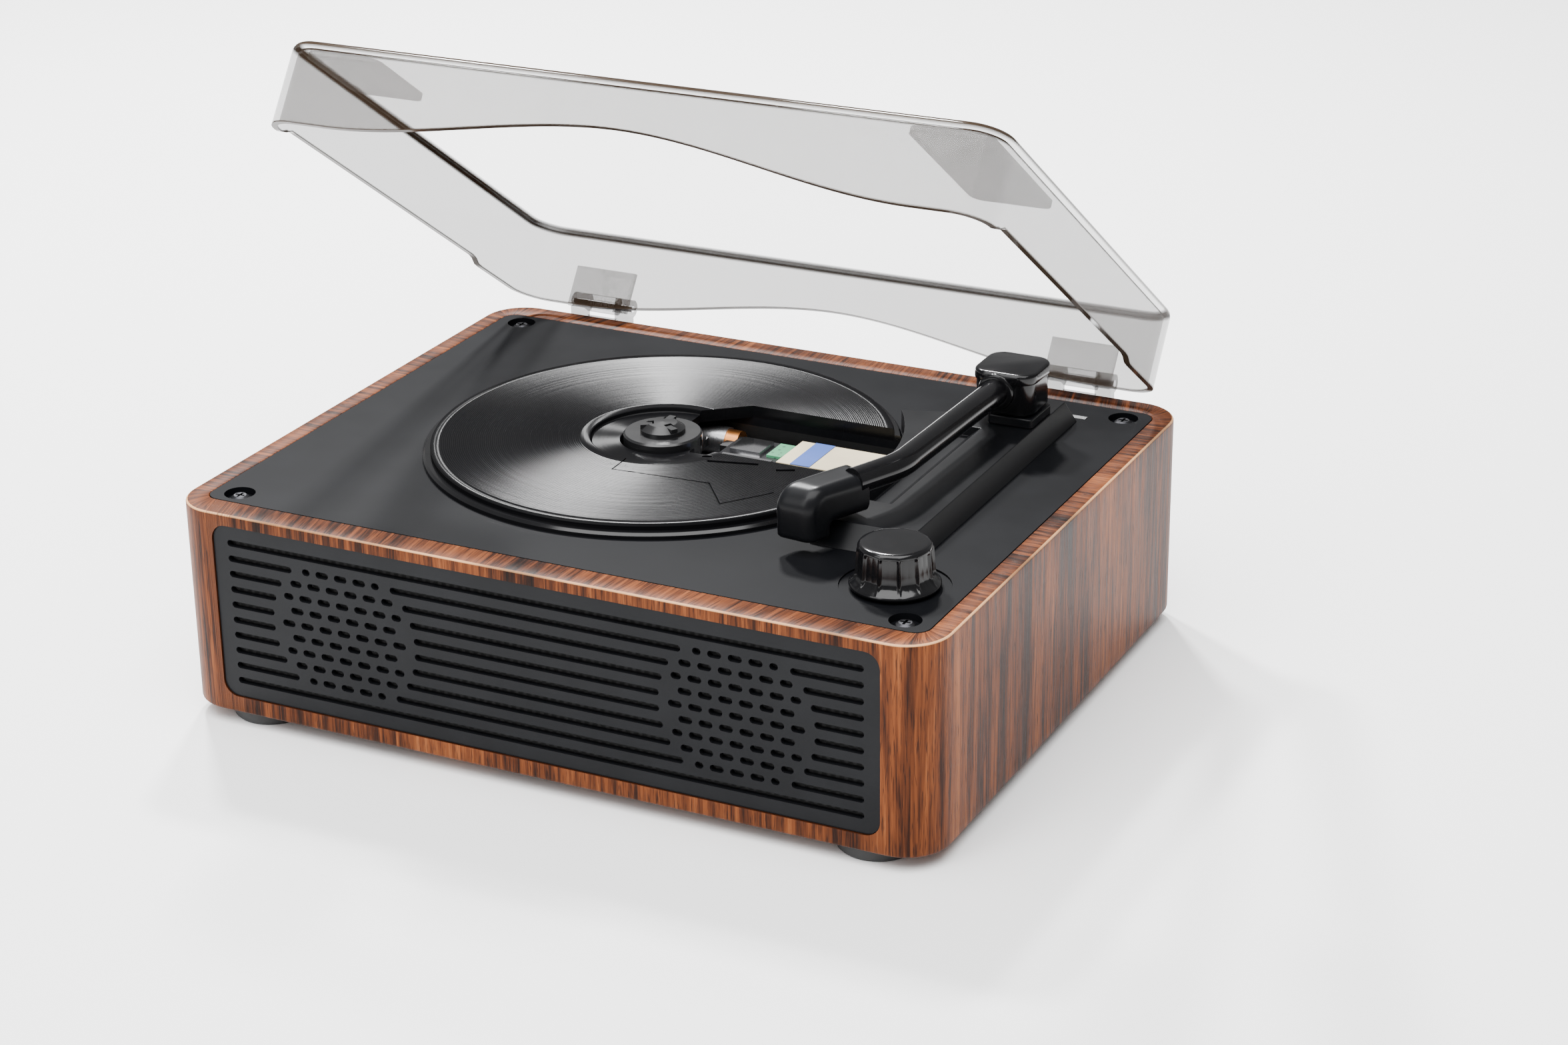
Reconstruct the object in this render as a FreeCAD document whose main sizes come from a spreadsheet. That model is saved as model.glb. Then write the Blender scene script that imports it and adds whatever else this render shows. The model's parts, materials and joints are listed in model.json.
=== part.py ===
import FreeCAD, Part
import math
import os
import Sketcher
from FreeCAD import Placement, Rotation, Vector

# A table-top disc player dressed as a record player: a wooden case with a black deck,
# a raised record-look cover over the disc mechanism, a swinging arm, one knob,
# a slotted front grille with two loudspeakers behind it, and a hinged smoked lid.
# Frame: +Z up from the table, +X to the right of a person facing the grille,
# which is the -Y side. Millimetres.

SIZES = {
    "case_width": (264, "wooden case, side to side"),
    "case_depth": (211, "wooden case, front to back"),
    "case_height": (69, "wooden case, bottom to top"),
    "case_corner": (14.5, "radius of the case's upright corners"),
    "case_wall": (12, "thickness of the case's walls"),
    "inner_corner": (3, "radius of the corners inside the case"),
    "foot_height": (5, "feet, table to case"),
    "foot_radius": (13, "radius of a foot"),
    "foot_inset_x": (24, "foot centre in from the case's side"),
    "foot_inset_y": (15.5, "foot centre in from the case's front or back"),
    "fit_gap": (0.3, "gap left round a piece that drops into another"),
    "board_thick": (4, "bottom board"),
    "post_height": (6, "posts that carry the main board"),
    "board_left": (-80, "main board's left edge from the middle"),
    "board_right": (0, "main board's right edge from the middle"),
    "board_front": (5, "main board's front edge from the middle"),
    "board_back": (75, "main board's back edge from the middle"),
    "circuit_thick": (1.6, "main board"),
    "post_inset": (4, "post centre in from the main board's edge"),
    "block_side": (15, "side of a glued corner block"),
    "screw_radius": (1.5, "shank radius of the wood screws"),
    "screw_head": (2.9, "head radius of the wood screws"),
    "screw_bite": (12, "length of a screw in its block"),
    "screw_clear": (0.2, "radial clearance of a screw in the piece it holds"),
    "small_screw": (0.9, "shank radius of the hinge screws"),
    "deck_thick": (3, "black deck plate"),
    "deck_side_rim": (7, "wood showing beside the deck"),
    "deck_front_rim": (10, "wood showing in front of and behind the deck"),
    "deck_corner": (5, "radius of the deck's corners"),
    "deck_hole_inset_x": (16, "deck screw in from the case's side"),
    "deck_hole_inset_y": (17, "deck screw in from the case's front or back"),
    "deck_hole_radius": (5, "counterbore of a deck screw"),
    "deck_hole_depth": (2.2, "depth of that counterbore"),
    "spindle_x": (-12.5, "spindle axis from the middle, sideways"),
    "spindle_y": (3.5, "spindle axis from the middle, front to back"),
    "cover_radius": (76, "record-look cover"),
    "cover_height": (4.2, "record-look cover above the deck"),
    "rim_width": (2.6, "glossy ring round the cover's edge"),
    "rim_height": (2, "height of that ring"),
    "label_radius": (23.5, "label recess in the cover"),
    "label_depth": (1.6, "depth of the label recess"),
    "hub_radius": (13, "hub flange that a disc rests on"),
    "hub_gap": (1, "gap round the hub flange"),
    "hub_step": (2.5, "face that a disc rests on, above the label"),
    "hub_crown": (5.9, "top of the hub nose above the label"),
    "nose_radius": (7.4, "hub nose that fills a disc's 15 mm hole"),
    "nose_height": (1.3, "straight part of the hub nose"),
    "jaw_width": (2.4, "clamp jaw, across"),
    "jaw_root": (3.4, "inner end of a clamp jaw from the axis"),
    "jaw_gap": (0.15, "gap round a clamp jaw"),
    "window_front": (-4, "window's front edge from the middle"),
    "window_back": (38.5, "window's back edge from the middle"),
    "window_left": (1, "window's left edge at the hub, from the middle"),
    "window_right": (64.5, "right-hand wall of the well, from the middle"),
    "tray_front": (-18, "well's front wall from the middle"),
    "tray_left": (-38, "well's left wall from the middle"),
    "tray_depth": (20, "depth of the mechanism well under the deck"),
    "tray_wall": (2, "walls of the mechanism well"),
    "chassis_drop": (12.6, "top of the mechanism chassis below the deck's top"),
    "chassis_thick": (1.6, "mechanism chassis"),
    "grommet_x": (7, "grommet in from the side of the well"),
    "grommet_y": (6.5, "grommet in from the front or back of the well"),
    "grommet_post": (2, "post that carries a grommet, above the well's floor"),
    "screw_drop": (7.6, "feed screw axis below the deck's top"),
    "motor_height": (6, "spindle motor"),
    "rod_radius": (1.5, "guide rods of the pickup"),
    "rod_drop": (7, "guide rod axis below the deck's top"),
    "front_rod_y": (-9, "front guide rod from the middle"),
    "back_rod_y": (25, "back guide rod from the middle"),
    "screw_y": (32.6, "feed screw axis from the middle"),
    "feed_radius": (1.4, "feed screw"),
    "running_gap": (0.05, "radial clearance of a shaft in its bore"),
    "sled_left": (2, "left side of the pickup sled at rest"),
    "sled_length": (26, "pickup sled along its travel"),
    "sled_travel": (34, "travel of the pickup sled"),
    "sled_top": (4.4, "top of the sled below the deck's top"),
    "sled_bottom": (10.4, "underside of the sled below the deck's top"),
    "lens_drop": (2, "base of the lens below the deck's top"),
    "cable_drop": (1.9, "top of the flat cable below the deck's top"),
    "cable_front": (10, "flat cable's front edge from the middle"),
    "cable_back": (30, "flat cable's back edge from the middle"),
    "lens_x": (14, "lens axis at rest, from the middle"),
    "lens_radius": (2.4, "objective lens"),
    "motor_radius": (11.5, "spindle motor"),
    "platform_height": (7.5, "arm platform above the deck"),
    "platform_gap": (0.6, "gap between the arm platform and the ring"),
    "platform_right": (103, "platform's right edge at the deck"),
    "platform_front": (-50, "platform's front edge at the deck"),
    "platform_back": (79.5, "platform's back edge at the deck"),
    "platform_slope": (3.2, "inset of the platform's top at its sloped sides"),
    "trough_depth": (3.5, "trough along the platform"),
    "trough_left": (73, "trough's left edge from the middle"),
    "trough_right": (85, "trough's right edge from the middle"),
    "trough_floor": (5.5, "width of the trough's floor"),
    "trough_length": (70, "length of the trough"),
    "pivot_x": (88.6, "arm's pivot axis from the middle, sideways"),
    "pivot_y": (57.5, "arm's pivot axis from the middle, front to back"),
    "pivot_bottom": (11.4, "underside of the pivot block above the deck"),
    "pivot_top": (25.8, "top of the pivot block above the deck"),
    "pivot_width": (21.6, "pivot block, side to side"),
    "pivot_depth": (21, "pivot block, front to back"),
    "shaft_radius": (3, "arm's pivot shaft"),
    "bush_wall": (1.2, "wall of the arm's bush"),
    "shaft_seat": (7, "depth of the shaft in the pivot block"),
    "shaft_foot": (9, "end of the arm's shaft below the deck's top"),
    "arm_radius": (4.3, "arm tube"),
    "arm_rise": (19.2, "arm tube axis above the deck"),
    "arm_hover": (0.8, "head above the record-look cover"),
    "head_rise": (9.3, "underside of the back of the head above the deck"),
    "head_top": (21.8, "top of the head above the deck"),
    "status_x": (101.7, "status window from the middle, sideways"),
    "status_y": (83, "status window from the middle, front to back"),
    "status_width": (6.4, "status window, side to side"),
    "status_depth": (2.4, "status window, front to back"),
    "knob_x": (103, "knob axis from the middle, sideways"),
    "knob_y": (-67, "knob axis from the middle, front to back"),
    "knob_radius": (13.9, "knob's flared foot"),
    "knob_top_radius": (10.6, "knob's top"),
    "knob_height": (14, "height of the knob"),
    "knob_lift": (0.8, "knob's foot above the floor of its recess"),
    "ring_radius": (17, "shallow recess round the knob"),
    "ring_depth": (0.6, "depth of that recess"),
    "stem_radius": (3, "potentiometer shaft"),
    "stem_foot": (12, "end of the potentiometer shaft below the deck's top"),
    "stem_seat": (9, "depth of the potentiometer shaft in the knob"),
    "grille_width": (231, "front grille"),
    "grille_drop": (4, "grille's upper edge below the case's top"),
    "grille_rise": (5.8, "grille's lower edge above the case's bottom"),
    "grille_corner": (5, "radius of the grille's corners"),
    "grille_thick": (2.2, "grille plate"),
    "grille_inset": (0.6, "grille's face behind the wood"),
    "cloth_thick": (0.4, "black cloth behind the grille"),
    "slot_rows": (10, "rows of slots"),
    "slot_edge": (4.65, "outer rows to the grille's edge"),
    "slot_height": (2.2, "height of a slot"),
    "slot_margin": (5.2, "end of a slot to the grille's edge"),
    "short_slot": (4.6, "length of a short slot"),
    "short_gap": (2.2, "gap between short slots in a row"),
    "speaker_x": (68.6, "loudspeaker axis from the middle"),
    "pattern_edge": (6.1, "round pattern of short slots to the grille's edge"),
    "sound_edge": (8.6, "sound hole in the case's front wall to the grille's edge"),
    "basket_flange": (4, "width of the loudspeaker frame's flange"),
    "panel_width": (66, "rear socket panel"),
    "panel_height": (26, "rear socket panel"),
    "panel_rise": (16, "rear panel's lower edge above the case's bottom"),
    "panel_thick": (2, "rear socket panel"),
    "panel_lap": (4, "rear panel past the opening behind it"),
    "power_radius": (2.75, "bore of the power inlet"),
    "audio_radius": (1.8, "bore of the audio socket"),
    "power_outside": (4, "power inlet's barrel"),
    "audio_outside": (3.2, "audio socket's barrel"),
    "socket_x": (16, "sockets from the middle"),
    "lid_width": (248, "lid, side to side"),
    "lid_length": (190, "lid, front to back"),
    "lid_height": (28, "lid, lower edge to top"),
    "lid_wall": (2, "thickness of the lid"),
    "lid_corner": (12, "radius of the lid's corners"),
    "pad_inset": (4, "pad under the lid's roof in from the walls"),
    "pad_width": (27, "pad, side to side"),
    "left_pad": (34, "left-hand pad, front to back"),
    "right_pad": (62, "right-hand pad, front to back"),
    "pad_thick": (2, "thickness of the pads"),
    "pad_corner": (4, "radius of the pads' corners"),
    "lid_gap": (0.5, "closed lid's lower edge above the deck"),
    "lid_open": (35, "angle of the lid at rest"),
    "arch_rise": (12, "rise of the arch in the lid's front and back walls"),
    "arch_width": (150, "width of that arch"),
    "hinge_x": (93, "hinge centre from the middle"),
    "hinge_width": (24, "width of a hinge"),
    "hinge_back": (3.5, "hinge axis behind the case"),
    "hinge_rise": (3.6, "hinge axis above the deck"),
    "knuckle_radius": (3.2, "hinge knuckle"),
    "pin_radius": (1.2, "hinge pin"),
    "hinge_plate": (14, "height of the hinge leaf on the case's back"),
    "hinge_leaf": (2, "thickness of that leaf"),
    "lid_setback": (5, "lid's rear wall in front of the hinge axis"),
}


def size(name):
    """The value of one driving dimension."""
    return float(SIZES[name][0])


def lid_reach():
    """How far the open lid reaches behind the middle of the case."""
    angle = math.radians(size("lid_open"))
    height = size("lid_height") - (size("hinge_rise") - size("lid_gap"))
    axis = size("case_depth") / 2 + size("hinge_back")
    return axis - size("lid_setback") * math.cos(angle) + height * math.sin(angle)


doc = FreeCAD.newDocument("record_player")
sheet = doc.addObject("Spreadsheet::Sheet", "dim")
for row, (name, (value, meaning)) in enumerate(SIZES.items(), start=1):
    sheet.set(f"A{row}", meaning)
    sheet.set(f"B{row}", str(value))
    sheet.setAlias(f"B{row}", name)
# The origin is under the middle of the whole object, so the case stands forward of it
# by half of what the open lid adds behind.
shift_row = len(SIZES) + 1
sheet.set(f"A{shift_row}", "middle of the case, front to back")
sheet.set(f"B{shift_row}", str(round((size("case_depth") / 2 - lid_reach()) / 2, 4)))
sheet.setAlias(f"B{shift_row}", "middle_y")
doc.recompute()

nodes = []          # the finished sub-parts, in the order they are made
TURN = {"z": Rotation(), "x": Rotation(Vector(0, 1, 0), 90), "y": Rotation(Vector(1, 0, 0), -90)}
BACK = "dim.case_depth / 2"
SIDE = "dim.case_width / 2"
RIM = "(dim.cover_radius + dim.rim_width)"
GRILLE = "(dim.case_height - dim.grille_rise - dim.grille_drop)"
SOUND_HOLE = f"({GRILLE} / 2 - dim.sound_edge)"
HINGE_SCREW_TIP = f"{BACK} - 7"
LABEL = "(dim.cover_height - dim.label_depth)"
SCREW_HOLE = "(dim.screw_radius + dim.screw_clear)"


def top(text="0"):
    """A height measured from the deck's top face."""
    return f"dim.foot_height + dim.case_height + ({text})"


def case(text="0"):
    """A height measured from the case's bottom."""
    return f"dim.foot_height + ({text})"


HINGE_SCREW_Z = top("-dim.hinge_plate / 2 - 2")


def node(name, part):
    """Name a finished sub-part."""
    part.Label = name
    nodes.append(part)
    return part


def place(part, x="0", y="0", z="0"):
    """Put a part at a point given from the middle of the case and the table."""
    part.setExpression("Placement.Base.x", x)
    part.setExpression("Placement.Base.y", f"dim.middle_y + ({y})")
    part.setExpression("Placement.Base.z", z)
    return part


def block(x, y, z):
    """A box between two limits along each axis."""
    part = doc.addObject("Part::Box", "Block")
    for prop, (low, high) in (("Length", x), ("Width", y), ("Height", z)):
        part.setExpression(prop, f"({high}) - ({low})")
    return place(part, x[0], y[0], z[0])


def rod(axis, at, span, radius):
    """A round rod along an axis; at is its place on the other two axes."""
    part = doc.addObject("Part::Cylinder", "Rod")
    part.setExpression("Radius", radius)
    part.setExpression("Height", f"({span[1]}) - ({span[0]})")
    part.Placement = Placement(Vector(), TURN[axis])
    others = [letter for letter in "xyz" if letter != axis]
    where = dict(zip(others, at))
    where[axis] = span[0]
    return place(part, where["x"], where["y"], where["z"])


def fuse(*parts):
    """Join parts that are one moulding."""
    joined = doc.addObject("Part::MultiFuse", "Joined")
    joined.Shapes = list(parts)
    joined.Refine = True
    return joined


def cut(base, *tools):
    """Take tools away from a part."""
    result = doc.addObject("Part::Cut", "Cut")
    result.Base = base
    result.Tool = tools[0] if len(tools) == 1 else group(*tools)
    return result


def group(*parts):
    """Separate solids kept in one sub-part."""
    held = doc.addObject("Part::Compound", "Group")
    held.Links = list(parts)
    return held


def origin_plane(body, role):
    """One of a body's own origin planes or axes."""
    return [item for item in body.Origin.OriginFeatures if item.Role == role][0]


def sketch_on(body, role="XY_Plane"):
    """An empty sketch on a body's origin plane."""
    drawn = body.newObject("Sketcher::SketchObject", "Outline")
    drawn.AttachmentSupport = [(origin_plane(body, role), "")]
    drawn.MapMode = "FlatFace"
    return drawn


def fix(drawn, kind, *where, text):
    """Add a dimension to a sketch and drive it from the sheet."""
    index = drawn.addConstraint(Sketcher.Constraint(kind, *where, number(text)))
    drawn.setExpression(f"Constraints[{index}]", text)


def tie(drawn, kind, *where):
    """Add a constraint that has no size."""
    drawn.addConstraint(Sketcher.Constraint(kind, *where))


def number(text):
    """The present value of an expression on the sheet."""
    return float(sheet.evalExpression(text))


def rounded_outline(drawn, x, y, corner):
    """A rectangle with four round corners between two limits each way."""
    left, right, front, back, r = (number(text) for text in (*x, *y, corner))
    ends = [(left + r, front), (right - r, front), (right, front + r), (right, back - r),
            (right - r, back), (left + r, back), (left, back - r), (left, front + r)]
    centres = [(right - r, front + r), (right - r, back - r), (left + r, back - r), (left + r, front + r)]
    for side in range(4):
        (ax, ay), (bx, by) = ends[2 * side], ends[2 * side + 1]
        drawn.addGeometry(Part.LineSegment(Vector(ax, ay, 0), Vector(bx, by, 0)))
    for turn, (cx, cy) in enumerate(centres):
        start = math.radians(90 * turn - 90)
        circle = Part.Circle(Vector(cx, cy, 0), Vector(0, 0, 1), r)
        drawn.addGeometry(Part.ArcOfCircle(circle, start, start + math.pi / 2))
    for side in range(4):
        tie(drawn, "Tangent", side, 2, 4 + side, 1)
        tie(drawn, "Tangent", 4 + side, 2, (side + 1) % 4, 1)
    tie(drawn, "Horizontal", 0)
    tie(drawn, "Vertical", 1)
    tie(drawn, "Horizontal", 2)
    tie(drawn, "Vertical", 3)
    for arc in (5, 6, 7):
        tie(drawn, "Equal", 4, arc)
    fix(drawn, "Radius", 4, text=corner)
    fix(drawn, "DistanceX", -1, 1, 3, 1, text=x[0])
    fix(drawn, "DistanceX", -1, 1, 1, 1, text=x[1])
    fix(drawn, "DistanceY", -1, 1, 0, 1, text=y[0])
    fix(drawn, "DistanceY", -1, 1, 2, 1, text=y[1])


def polygon(drawn, points):
    """A closed outline of straight lines through points given as pairs of expressions."""
    spots = [Vector(number(x), number(y), 0) for x, y in points]
    count = len(spots)
    for i in range(count):
        drawn.addGeometry(Part.LineSegment(spots[i], spots[(i + 1) % count]))
    for i in range(count):
        tie(drawn, "Coincident", i, 2, (i + 1) % count, 1)
    for i, (x, y) in enumerate(points):
        fix(drawn, "DistanceX", -1, 1, i, 1, text=x)
        fix(drawn, "DistanceY", -1, 1, i, 1, text=y)


def body_at(x="0", y="0", z="0"):
    """An empty body placed from the middle of the case and the table."""
    return place(doc.addObject("PartDesign::Body", "Body"), x, y, z)


def pad(body, drawn, length):
    """Raise an outline into a solid."""
    raised = body.newObject("PartDesign::Pad", "Pad")
    raised.Profile = drawn
    raised.setExpression("Length", length)
    body.Tip = raised
    return raised


def plate(x, y, z, corner):
    """A flat plate with round corners."""
    body = body_at(z=z[0])
    drawn = sketch_on(body)
    rounded_outline(drawn, x, y, corner)
    pad(body, drawn, f"({z[1]}) - ({z[0]})")
    return body


def prism(points, z, x="0", y="0"):
    """A flat-sided piece: an outline raised from one height to another."""
    body = body_at(x, y, z[0])
    drawn = sketch_on(body)
    polygon(drawn, points)
    pad(body, drawn, f"({z[1]}) - ({z[0]})")
    return body


def turned(profile, x="0", y="0", z="0"):
    """A turned piece: a profile of radius and height swept once round the upright axis."""
    body = body_at(x, y, z)
    drawn = sketch_on(body, "XZ_Plane")
    polygon(drawn, profile)
    spun = body.newObject("PartDesign::Revolution", "Turned")
    spun.Profile = drawn
    spun.ReferenceAxis = (drawn, ["V_Axis"])
    spun.Angle = 360
    body.Tip = spun
    return body


# ---- wooden case ---------------------------------------------------------------------

def span(half):
    """Limits that lie evenly each side of the middle."""
    return (f"-({half})", half)


def make_case():
    """The veneered case: four walls, a rebate for the deck and openings in front and back."""
    inner_x, inner_y = f"{SIDE} - dim.case_wall", f"{BACK} - dim.case_wall"
    outer = plate(span(SIDE), span(BACK), (case(), top()), "dim.case_corner")
    inside = plate(span(inner_x), span(inner_y), (case("-1"), top("1")), "dim.inner_corner")
    rebate = plate(span(f"{SIDE} - dim.deck_side_rim + dim.fit_gap / 2"),
                   span(f"{BACK} - dim.deck_front_rim + dim.fit_gap / 2"),
                   (top("-dim.deck_thick"), top("1")), "dim.deck_corner")
    recess_depth = "dim.grille_inset + dim.grille_thick + dim.cloth_thick"
    recess = upright_plate("dim.fit_gap / 2", recess_depth)
    tools = [inside, rebate, recess]
    for side in ("-", ""):
        tools.append(rod("y", (f"{side}dim.speaker_x", speaker_z()), (f"-({BACK})", f"-({inner_y}) + 1"),
                         SOUND_HOLE))
    tools.append(block(span("dim.panel_width / 2 - dim.panel_lap"), (f"{inner_y} - 1", f"{BACK} + 1"),
                       (case("dim.panel_rise + dim.panel_lap - 1"),
                        case("dim.panel_rise + dim.panel_height - dim.panel_lap + 1"))))
    tools.append(block(span("dim.panel_width / 2 + dim.fit_gap / 2"),
                       (f"{BACK} - dim.panel_thick", f"{BACK} + 1"),
                       (case("dim.panel_rise - dim.fit_gap / 2"),
                        case("dim.panel_rise + dim.panel_height + dim.fit_gap / 2"))))
    for x in hinge_screw_places():
        tools.append(rod("y", (x, HINGE_SCREW_Z), (HINGE_SCREW_TIP, f"{BACK} + 1"), "dim.small_screw"))
    node("cabinet_shell", cut(outer, *tools))


def speaker_z():
    """Height of the loudspeaker axes: the middle of the grille."""
    return case(f"dim.grille_rise + {GRILLE} / 2")


def hinge_screw_places():
    """Sideways places of the hinge screws, two in each leaf."""
    return [f"{side}(dim.hinge_x {sign} dim.hinge_width / 4)" for side in ("-", "") for sign in "-+"]


def upright_plate(grow, thick):
    """A round-cornered plate of the grille's outline, grown all round, from the case's face inwards."""
    body = body_at(y=f"-({BACK}) + {thick}", z=case("dim.grille_rise"))
    drawn = sketch_on(body, "XZ_Plane")
    rounded_outline(drawn, span(f"dim.grille_width / 2 + {grow}"), (f"-({grow})", f"{GRILLE} + {grow}"),
                    "dim.grille_corner")
    pad(body, drawn, thick)
    return body


def board_post_places():
    """Places of the stand-offs under the main board."""
    return [(x, y) for x in ("dim.board_left + dim.post_inset", "dim.board_right - dim.post_inset")
            for y in ("dim.board_front + dim.post_inset", "dim.board_back - dim.post_inset")]


def make_case_inside():
    """Corner blocks glued in the case, the bottom board, the feet and their screws."""
    inner_x, inner_y = f"{SIDE} - dim.case_wall", f"{BACK} - dim.case_wall"
    blocks, drills, soles, screws = [], [], [], []
    for sx, sy in (("-", "-"), ("-", ""), ("", "-"), ("", "")):
        across = [f"{sx}({inner_x})", f"{sx}({inner_x} - dim.block_side)"]
        along = [f"{sy}({inner_y})", f"{sy}({inner_y} - dim.block_side)"]
        blocks.append(plate(across[::1 if sx else -1], along[::1 if sy else -1],
                            (case("dim.board_thick"), top("-dim.deck_thick")),
                            "dim.inner_corner + dim.fit_gap"))
        foot_at = (f"{sx}({SIDE} - dim.foot_inset_x)", f"{sy}({BACK} - dim.foot_inset_y)")
        deck_at = (f"{sx}({SIDE} - dim.deck_hole_inset_x)", f"{sy}({BACK} - dim.deck_hole_inset_y)")
        tip = case("dim.board_thick + dim.screw_bite")
        drills.append(rod("z", foot_at, (case("dim.board_thick - 1"), tip), "dim.screw_radius"))
        drills.append(rod("z", deck_at, (top("-dim.deck_thick - dim.screw_bite"), top("-dim.deck_thick + 1")),
                          "dim.screw_radius"))
        recess = "dim.screw_head + dim.fit_gap"
        soles.append(turned([(SCREW_HOLE, "dim.foot_height / 2"), (recess, "dim.foot_height / 2"),
                             (recess, "0"),
                             ("dim.foot_radius - 1", "0"), ("dim.foot_radius - 0.2", "0.8"),
                             ("dim.foot_radius", "dim.foot_height"),
                             (SCREW_HOLE, "dim.foot_height")], *foot_at))
        screws.append(turned([("0", "0.6"), ("dim.screw_head", "1"), ("dim.screw_head", "dim.foot_height / 2"),
                              ("dim.screw_radius", "dim.foot_height / 2"),
                              ("dim.screw_radius", tip), ("0", tip)], *foot_at))
    node("corner_blocks", cut(group(*blocks), *drills))
    node("rubber_feet", group(*soles))
    node("foot_screws", group(*screws))
    board = plate(span(f"{inner_x} - dim.fit_gap"), span(f"{inner_y} - dim.fit_gap"),
                  (case(), case("dim.board_thick")), "dim.inner_corner")
    holes = [rod("z", (f"{x}({SIDE} - dim.foot_inset_x)", f"{y}({BACK} - dim.foot_inset_y)"),
                 (case("-1"), case("dim.board_thick + 1")), SCREW_HOLE) for x in ("-", "") for y in ("-", "")]
    stands = [rod("z", at, (case("dim.board_thick / 2"), case("dim.board_thick + dim.post_height")), "3")
              for at in board_post_places()]
    node("bottom_board", fuse(cut(board, *holes), *stands))


# ---- deck ----------------------------------------------------------------------------

def well(grow="0"):
    """Limits of the well's inside, sideways and front to back, grown by its wall if asked."""
    return ((f"dim.tray_left - ({grow})", f"dim.window_right + {grow}"),
            (f"dim.tray_front - ({grow})", f"dim.window_back + {grow}"))


def status_spot(grow):
    """Limits of the status window, grown all round."""
    return tuple((f"dim.status_{axis} - dim.status_{wide} / 2 - {grow}",
                  f"dim.status_{axis} + dim.status_{wide} / 2 + {grow}")
                 for axis, wide in (("x", "width"), ("y", "depth")))


def make_deck():
    """The flush black deck plate with its screw holes, knob recess and well opening."""
    deck = plate(span(f"{SIDE} - dim.deck_side_rim"), span(f"{BACK} - dim.deck_front_rim"),
                 (top("-dim.deck_thick"), top()), "dim.deck_corner")
    through = (top("-dim.deck_thick - 1"), top("1"))
    tools = [block(*well(), through),
             rod("z", ("dim.knob_x", "dim.knob_y"), (top("-dim.ring_depth"), top("1")), "dim.ring_radius"),
             rod("z", ("dim.knob_x", "dim.knob_y"), through, "dim.stem_radius + 1"),
             rod("z", ("dim.pivot_x", "dim.pivot_y"), through, "dim.shaft_radius + 2"),
             block(*status_spot("dim.fit_gap / 2"), through)]
    screws, slots = [], []
    for sx in ("-", ""):
        for sy in ("-", ""):
            at = (f"{sx}({SIDE} - dim.deck_hole_inset_x)", f"{sy}({BACK} - dim.deck_hole_inset_y)")
            tools.append(rod("z", at, (top("-dim.deck_hole_depth"), top("1")), "dim.deck_hole_radius"))
            tools.append(rod("z", at, through, SCREW_HOLE))
            seat, tip = top("-dim.deck_hole_depth"), top("-dim.deck_thick - dim.screw_bite")
            brim, crown = top("-dim.deck_hole_depth + 0.9"), top("-dim.deck_hole_depth + 1.6")
            screws.append(turned([("0", tip), ("dim.screw_radius", tip), ("dim.screw_radius", seat),
                                  ("dim.screw_head", seat), ("dim.screw_head", brim),
                                  ("dim.screw_head - 0.9", crown), ("0", crown)], *at))
            short, long = "0.4", "1.7"
            for wide, deep in ((short, long), (long, short)):
                slots.append(block((f"{at[0]} - {wide}", f"{at[0]} + {wide}"),
                                   (f"{at[1]} - {deep}", f"{at[1]} + {deep}"),
                                   (top("-dim.deck_hole_depth + 0.6"), top("1"))))
    node("deck_plate", cut(deck, *tools))
    node("deck_screws", cut(group(*screws), *slots))
    node("status_window", block(*status_spot("0"), (top("-dim.deck_thick"), top("0.2"))))


def make_cover():
    """The raised record-look cover: label recess, hub hole and the window to the well."""
    bevel, draft, hole = "0.8", "0.6", "dim.hub_radius + dim.hub_gap"
    cover = turned([(hole, "0"), ("dim.cover_radius", "0"),
                    ("dim.cover_radius", f"dim.cover_height - {bevel}"),
                    (f"dim.cover_radius - {bevel}", "dim.cover_height"),
                    (f"dim.label_radius + {draft}", "dim.cover_height"), ("dim.label_radius", LABEL),
                    (hole, LABEL)], "dim.spindle_x", "dim.spindle_y", top())
    notch = "dim.spindle_x + 1.5"
    window = prism([("dim.window_left", "dim.window_front"), ("dim.cover_radius", "dim.window_front"),
                    ("dim.cover_radius", "dim.window_back"),
                    ("dim.window_left + 2", "dim.window_back"),
                    (notch, "dim.spindle_y + dim.label_radius"), (notch, "dim.spindle_y + dim.hub_radius"),
                    ("dim.window_left", "dim.spindle_y + dim.hub_radius / 2")],
                   (top("-1"), top("dim.cover_height + 1")))
    node("disc_cover", cut(cover, window))
    ring = turned([("dim.cover_radius", "0"), (RIM, "0"),
                   (RIM, f"dim.rim_height - {bevel}"), (f"{RIM} - {bevel}", "dim.rim_height"),
                   ("dim.cover_radius", "dim.rim_height")], "dim.spindle_x", "dim.spindle_y", top())
    gap = block(("0", "dim.cover_radius + 20"), ("dim.window_front", "dim.window_back"), (top("-1"), top("9")))
    node("cover_ring", cut(ring, gap))


# ---- disc mechanism ------------------------------------------------------------------

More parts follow.
